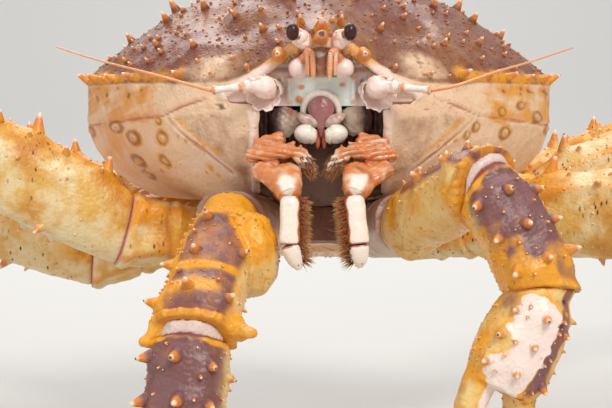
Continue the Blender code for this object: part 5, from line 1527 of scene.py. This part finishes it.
def outerJawLeg(side, sign):
    joints = [mirrored(point, sign) for point in outerJaw[side]]
    segments = [jawSegment(a, b, jawRows[key]) for (a, b), key in zip(zip(joints, joints[1:]), jawRows)]
    arm, shield, palp, last = segments
    elbow = joints[1] + np.array((sign * 0.0085, 0.0010, 0.0008))
    lumps = [limbSkin(arm, 40, 30), limbSkin(shield, 48, 40),
             limbSkin(jawSegment(joints[1] + (sign * 0.001, 0.002, 0.003), elbow, jawRows["last"]), 30, 24),
             limbSkin(jawSegment(elbow, joints[2] + (sign * 0.004, 0.004, 0.003), jawRows["last"]), 30, 24)]
    upper = melted(lumps, 0.00035, 3)
    p = upper.points
    t, _ = shield.places(p)
    ridge = np.cos((p[:, 2] - 0.128 - (p[:, 0] * sign - 0.012) * 0.5) * tau / 0.0016)
    upper.raised(0.00022 * ripple(p, 0.004, 3) + 0.00010 * ridge * ramp(0.5 - t, 0.0, 0.3))
    _, angle = shield.places(p)
    shade = ramp(t + 0.06 * ripple(p, 0.004, 8), 0.34, 0.62) * bell(turned(angle, math.pi / 2), 0.85)
    upper.set(pale=shade, warm=0.62 + 0.4 * ripple(p, 0.005, 5) - 0.7 * shade,
              side=0.35 + 0.4 * ripple(p, 0.006, 8),
              deep=bell(t - 0.97, 0.03) * 0.6 + 0.3 * ramp(ridge, 0.3, 1) * ramp(0.5 - t, 0.0, 0.3))

    def palpRelief(t, angle, fromStart, fromEnd, points):
        rim = bell(fromEnd - 0.0008, 0.0008) + bell(fromStart - 0.0008, 0.0008)
        faint = bell(t - 0.20, 0.09) * bell(turned(angle, math.pi / 2), 0.5)
        inner = ramp(-sign * np.cos(angle) + 0.06 * np.cos(t * 17), 0.62, 0.80)
        return -0.0004 * bell(fromStart, 0.0006) + 0.00012 * ripple(points, 0.004, 6), dict(
            pale=1 - 0.4 * faint - 0.5 * bell(fromStart, 0.0012) - inner, warm=0.45 * faint + 0.5 * rim + inner,
            deep=bell(fromEnd, 0.0005) + 0.45 * inner, side=0.0)

    def lastRelief(t, angle, fromStart, fromEnd, points):
        inner = bell(turned(angle, math.pi if sign > 0 else 0), 0.45)
        teeth = np.abs(np.cos(t * 9 * math.pi)) * ramp(t, 0.15, 0.3)
        spot = np.hypot(t - 0.82, turned(angle, 1.4) * 0.3)
        return 0.0007 * inner * teeth - 0.0003 * bell(fromStart, 0.0006), dict(
            pale=1 - 0.4 * t, warm=0.25 * inner, spots=0.8 * bell(spot, 0.05), deep=bell(fromStart, 0.0007))
    parts = [upper, limbSkin(palp, 56, 70, palpRelief), limbSkin(last, 48, 60, lastRelief)]
    piece(f"outer_jaw_leg_{side}_shell", joined(parts), jawFinish)
    patches = joined([hairPatch(palp, sign, 0.02, 0.98), hairPatch(last, sign, 0.0, 0.7)])
    bristles(f"outer_jaw_leg_{side}_bristles", patches, (sign * -0.9, 0.15, -0.45), 0.0044, 950)


def innerJawLeg(side, sign):
    joints = [mirrored(point, sign) for point in innerJaw]
    rows = ((0, 0.0024, 0.0020, 0.0020), (0.5, 0.0029, 0.0025, 0.0024), (1, 0.0026, 0.0022, 0.0022))
    tipRows = ((0, 0.0026, 0.0022, 0.0022), (0.6, 0.0028, 0.0024, 0.0024), (1, 0.0014, 0.0012, 0.0012))
    limbs = [jawSegment(a, b, rows if i < 3 else tipRows) for i, (a, b) in enumerate(zip(joints, joints[1:]))]
    second = jawSegment(joints[2] + (sign * -0.001, 0.003, 0.003), joints[3] + (sign * 0.004, 0.004, 0.0035), rows)
    lumps = [limbSkin(limb, 36, 30) for limb in (*limbs, second)]
    lumps.append(ballSkin(joints[2], (0.0028, 0.0024, 0.0026)))
    skin = melted(lumps, 0.00034, 3)
    p = skin.points
    t, _ = limbs[3].places(p)
    band = ripple(p, 0.005, 17)
    tip = ramp(t, 0.2, 0.6) * (np.abs(p[:, 0]) < 0.0100)
    pleat = np.cos((p[:, 2] - 0.2 * np.abs(p[:, 0])) * tau / 0.0021 + band)
    skin.raised(0.0004 * band + 0.00022 * pleat + 0.00012 * ripple(p, 0.0018, 5))
    skin.set(warm=0.60 + 0.35 * band + 0.15 * pleat - tip * 0.7, pale=0.40 * ramp(band, 0.0, 0.8) + tip * 0.7,
             side=0.3 - 0.3 * pleat, deep=0.35 * ramp(-pleat, 0.3, 1))
    piece(f"inner_jaw_leg_{side}_shell", skin, jawFinish)
    patch = hairPatch(limbs[3], sign, 0.35, 1.0, 6.0)
    bristles(f"inner_jaw_leg_{side}_bristles", patch, (sign * -0.5, -0.2, -0.9), 0.0032, 500)


def hairPatch(limb, sign, first, last, width=1.1):  # a strip just under the skin that bristles grow from
    facing = math.pi if limb.turn[0, 1] * sign > 0 else 0.0
    t = np.linspace(first, last, 24)[:, None]
    angle = facing + np.linspace(-width / 2, width / 2, 14)[None]
    points = limb.world(limb.local(t, angle) * np.array((1, 0.9, 0.9)))
    return slabSkin(points, points + np.array((sign * 0.0006, 0.0002, 0)))


bristleLook = dict(width=0.00016, seed=12)


def bristleTree():
    tree, add, source = newTree("bristles", dict(
        Density="Float", Length="Float", Width="Float", Lie="Vector", Seed="Int", Finish="Material"))
    scatter = add("GeometryNodeDistributePointsOnFaces", {"distribute_method": "RANDOM"}, {
        "Mesh": source["Geometry"], "Density": source["Density"], "Seed": source["Seed"]})
    stray = add("FunctionNodeRandomValue", {"data_type": "FLOAT_VECTOR"}, {
        0: (-0.35, -0.35, -0.35), 1: (0.35, 0.35, 0.35)})
    lie = add("ShaderNodeVectorMath", {"operation": "ADD"}, {0: source["Lie"], 1: stray[0]})
    normal = add("ShaderNodeVectorMath", {"operation": "SCALE"}, {0: scatter["Normal"], "Scale": 0.25})
    way = add("ShaderNodeVectorMath", {"operation": "ADD"}, {0: lie[0], 1: normal[0]})
    turn = add("FunctionNodeAlignRotationToVector", {"axis": "Z"}, {"Vector": way[0]})
    return finishTree(tree, add, source, grownCones(
        add, source, scatter, turn[0], (4, 3, 0.12), 1.0, source["Length"], 1.25))


def bristles(name, patch, lie, length, count):
    patch.points = patch.points + shift
    obj = linked(name, meshOf(name, patch))
    area = sum(face.area for face in obj.data.polygons)
    setInputs(obj, bristleGroup, dict(
        Density=count / area, Length=length, Width=bristleLook["width"], Lie=lie, Seed=bristleLook["seed"],
        Finish=bristleFinish))
    obj.data.materials.append(bristleFinish)
    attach(obj, "root")
    return obj


faceColours = dict(
    shellLook, cloudScale=70.0, low=colour(228, 242, 236), lowMottle=colour(236, 238, 226),
    high=colour(160, 108, 92), highMottle=colour(178, 120, 84), warm=colour(234, 144, 76),
    pale=colour(250, 226, 216), specks=0.1, mottle=0.6, deep=colour(120, 66, 54), tipStart=0.3,
    tipHigh=colour(250, 220, 190), bump=0.35, rough=0.28, coat=0.35, glow=0.15,
)
faceFinish = shellFinish("crabFace", faceColours)
# the mouth finish's dark high colour is painted shade: the side mark brings it onto the sheet behind the mouthparts
# and the cheeks' outer sides
mouthFinish = shellFinish("crabMouth", dict(
    faceColours, low=colour(196, 176, 158), lowMottle=colour(174, 144, 126), high=colour(58, 36, 34),
    highMottle=colour(92, 54, 44), warm=colour(206, 96, 58), pale=colour(242, 234, 220), deep=colour(160, 92, 96),
    spot=colour(112, 46, 48), mottle=0.8, coat=0.2))
jawFinish = shellFinish("crabJaws", dict(
    faceColours, low=colour(232, 178, 138), lowMottle=colour(240, 204, 172), high=colour(160, 88, 58),
    highMottle=colour(204, 130, 90), warm=colour(218, 130, 66), pale=colour(248, 236, 222), deep=colour(172, 76, 44),
    mottle=0.9))
bristleFinish = shellFinish("crabBristles", dict(
    faceColours, low=colour(104, 44, 20), lowMottle=colour(150, 74, 30), tipStart=0.8, tipLow=colour(176, 94, 36),
    tipHigh=colour(218, 164, 98), bump=0.05))


def cornea():
    board = Board("crabEye")
    facets = board.cells(5200.0)
    tint = board.blend(board.noise(300.0, 3.0), colour(78, 34, 24), colour(30, 12, 10))
    bump = board.add("ShaderNodeBump", {}, {"Strength": 0.25, "Distance": 0.0002, "Height": facets})
    rough = 0.22 + board.noise(600.0) * 0.12
    return board.surface(tint, rough, bump, **{
        "Coat Weight": 0.25, "Coat Roughness": 0.10, "Specular IOR Level": 0.3})


eyeFinish = cornea()
bristleGroup = bristleTree()
facePlate()
for side, sign in sides:
    eyeAndStalk(side, sign)
    antennule(side, sign)
    antenna(side, sign)
mouth()
for side, sign in sides:
    outerJawLeg(side, sign)
    innerJawLeg(side, sign)
print("stage: face and jaws")


# underside

thoraxRows = (
    (0, 0.024, 0.016, 0.0045), (0.15, 0.041, 0.018, 0.0065), (0.4, 0.051, 0.018, 0.0085),
    (0.65, 0.052, 0.018, 0.0095), (0.85, 0.046, 0.018, 0.0095), (1, 0.033, 0.018, 0.0085),
)
tailRows = (
    (0, 0.024, 0.008, 0.006), (0.3, 0.034, 0.010, 0.006), (0.65, 0.040, 0.010, 0.006), (1, 0.040, 0.008, 0.007),
)
flapRows = (
    (0, 0.036, 0.0055, 0.0048), (0.25, 0.038, 0.0055, 0.0048), (0.55, 0.034, 0.0050, 0.0048),
    (0.85, 0.021, 0.0040, 0.0045), (1, 0.008, 0.0025, 0.0030),
)


def platesRelief(count, middleGroove, seed, brown=0.0):
    def relief(t, angle, fromStart, fromEnd, points):
        phase = t * count + 0.18 * np.cos(angle * 2)
        seam = bell((phase - np.round(phase)) / count, 0.012)
        side = 0.4 + 0.3 * ripple(points, 0.02, seed)
        middle = bell(points[..., 0], 0.0016) * middleGroove
        lift = 0.0012 * np.abs(np.cos(phase * math.pi)) - 0.0010 * seam - 0.0008 * middle
        lift = lift + 0.0004 * ripple(points, 0.010, seed) + 0.00015 * ripple(points, 0.004, seed + 1)
        # painted shade: the front of the thorax, under the mouth and between the jaw legs, is darkened through the
        # side and spots marks
        shaded = ramp(-points[..., 1], 0.034, 0.050) * ramp(points[..., 2], 0.0985, 0.1010)
        return lift * ramp(fromStart, 0, 0.004) * ramp(fromEnd, 0, 0.004), dict(
            side=side * 0.3 + 0.7 * shaded + brown * (0.75 + 0.6 * ripple(points, 0.012, seed)),
            spots=0.55 * shaded * (0.75 + 0.3 * ripple(points, 0.009, seed)),
            warm=0.35 * seam + 0.25 * ripple(points, 0.016, seed + 3),
            deep=0.6 * (seam + middle), grain=1 - seam)
    return relief


def underside():
    body = Limb((0, -0.056, 0.1105), (0, 0.074, 0.1055), (0, 0, 1), thoraxRows, 0.0, 2.8)
    skin = limbSkin(body, 140, 130, platesRelief(5, 1.0, 50))
    skin.points[:, 2] = np.minimum(skin.points[:, 2], 0.1190)
    piece("thorax_shell", skin, paleFinish)
    fold = np.array((0, 0.0835, 0.0985)), unit((0, -0.75, -0.66))
    tail = Limb((0, 0.0810, 0.1500), (0, 0.0820, 0.0955), (0, 1, 0), tailRows, 0.010, 2.6)
    flap = Limb((0, 0.0840, 0.0930), (0, -0.0280, 0.1010), (0, 0, -1), flapRows, 0.0, 2.6)
    grain = dict(grainLook, spacing=0.0036, width=0.0008, height=0.0006)
    piece("abdomen_base_shell", limbSkin(tail, 120, 90, platesRelief(3, 0.0, 60, 0.6), (None, fold)),
          paleFinish, grain)
    piece("abdomen_flap_shell", limbSkin(flap, 120, 130, platesRelief(6, 0.6, 70), (fold, None)),
          paleFinish, grain)


underside()
print("stage: underside")


# floor, light and camera

floorLook = dict(near=-6.0, turn=2.4, radius=1.2, top=5.0, half=7.0, tint=colour(205, 203, 199))
bend = np.linspace(0, math.pi / 2, 24)
sweep = [(floorLook["near"], 0.0)]
turn, radius = floorLook["turn"], floorLook["radius"]
sweep += [(turn + radius * math.sin(a), radius * (1 - math.cos(a))) for a in bend]
sweep.append((turn + radius, floorLook["top"]))
corners = [(x, y, z) for y, z in sweep for x in (-floorLook["half"], floorLook["half"])]
floorMesh = bpy.data.meshes.new("floor")
floorMesh.from_pydata(corners, [], [(k, k + 1, k + 3, k + 2) for k in range(0, len(corners) - 2, 2)])
floorMesh.shade_smooth()
floor = linked("floor", floorMesh)
floorBoard = Board("paleFloor")
floorMesh.materials.append(floorBoard.surface(floorLook["tint"], 0.75, None))

skyLook = dict(tint=(0.92, 0.94, 1.0, 1), strength=0.42)
world = bpy.data.worlds.new("studio")
bpy.context.scene.world = world
world.use_nodes = True
world.node_tree.nodes["Background"].inputs["Color"].default_value = skyLook["tint"]
world.node_tree.nodes["Background"].inputs["Strength"].default_value = skyLook["strength"]


def softLight(name, place, aim, size, power, tint=(1, 1, 1)):
    data = bpy.data.lights.new(name, "AREA")
    data.size, data.energy, data.color = size, power, tint
    lamp = linked(name, data)
    lamp.location = place
    lamp.rotation_euler = (Vector(aim) - Vector(place)).to_track_quat("-Z", "Y").to_euler()


softLight("key", (0.7, -1.5, 1.7), (0, 0, 0.12), 0.8, 34, (1.0, 0.97, 0.92))
softLight("fill", (-1.7, -1.0, 0.8), (0, 0, 0.12), 1.4, 9)
softLight("rim", (-0.3, 1.6, 1.6), (0, 0, 0.12), 1.2, 14)
softLight("wall", (0, 1.2, 3.2), (0, 3.2, 1.0), 2.5, 76)

cameraLook = dict(place=(-0.0054, -0.565, 0.1556), tilt=86.0, focal=36 * 1330 / 612)
camera = bpy.data.cameras.new("camera")
camera.lens = cameraLook["focal"]
camera.sensor_width = 36
camera.clip_start = 0.01
viewer = linked("camera", camera)
viewer.location = Vector(cameraLook["place"]) + Vector(shift)
viewer.rotation_euler = (math.radians(cameraLook["tilt"]), 0, 0)
bpy.context.scene.camera = viewer
bpy.context.scene.view_settings.view_transform = "Standard"
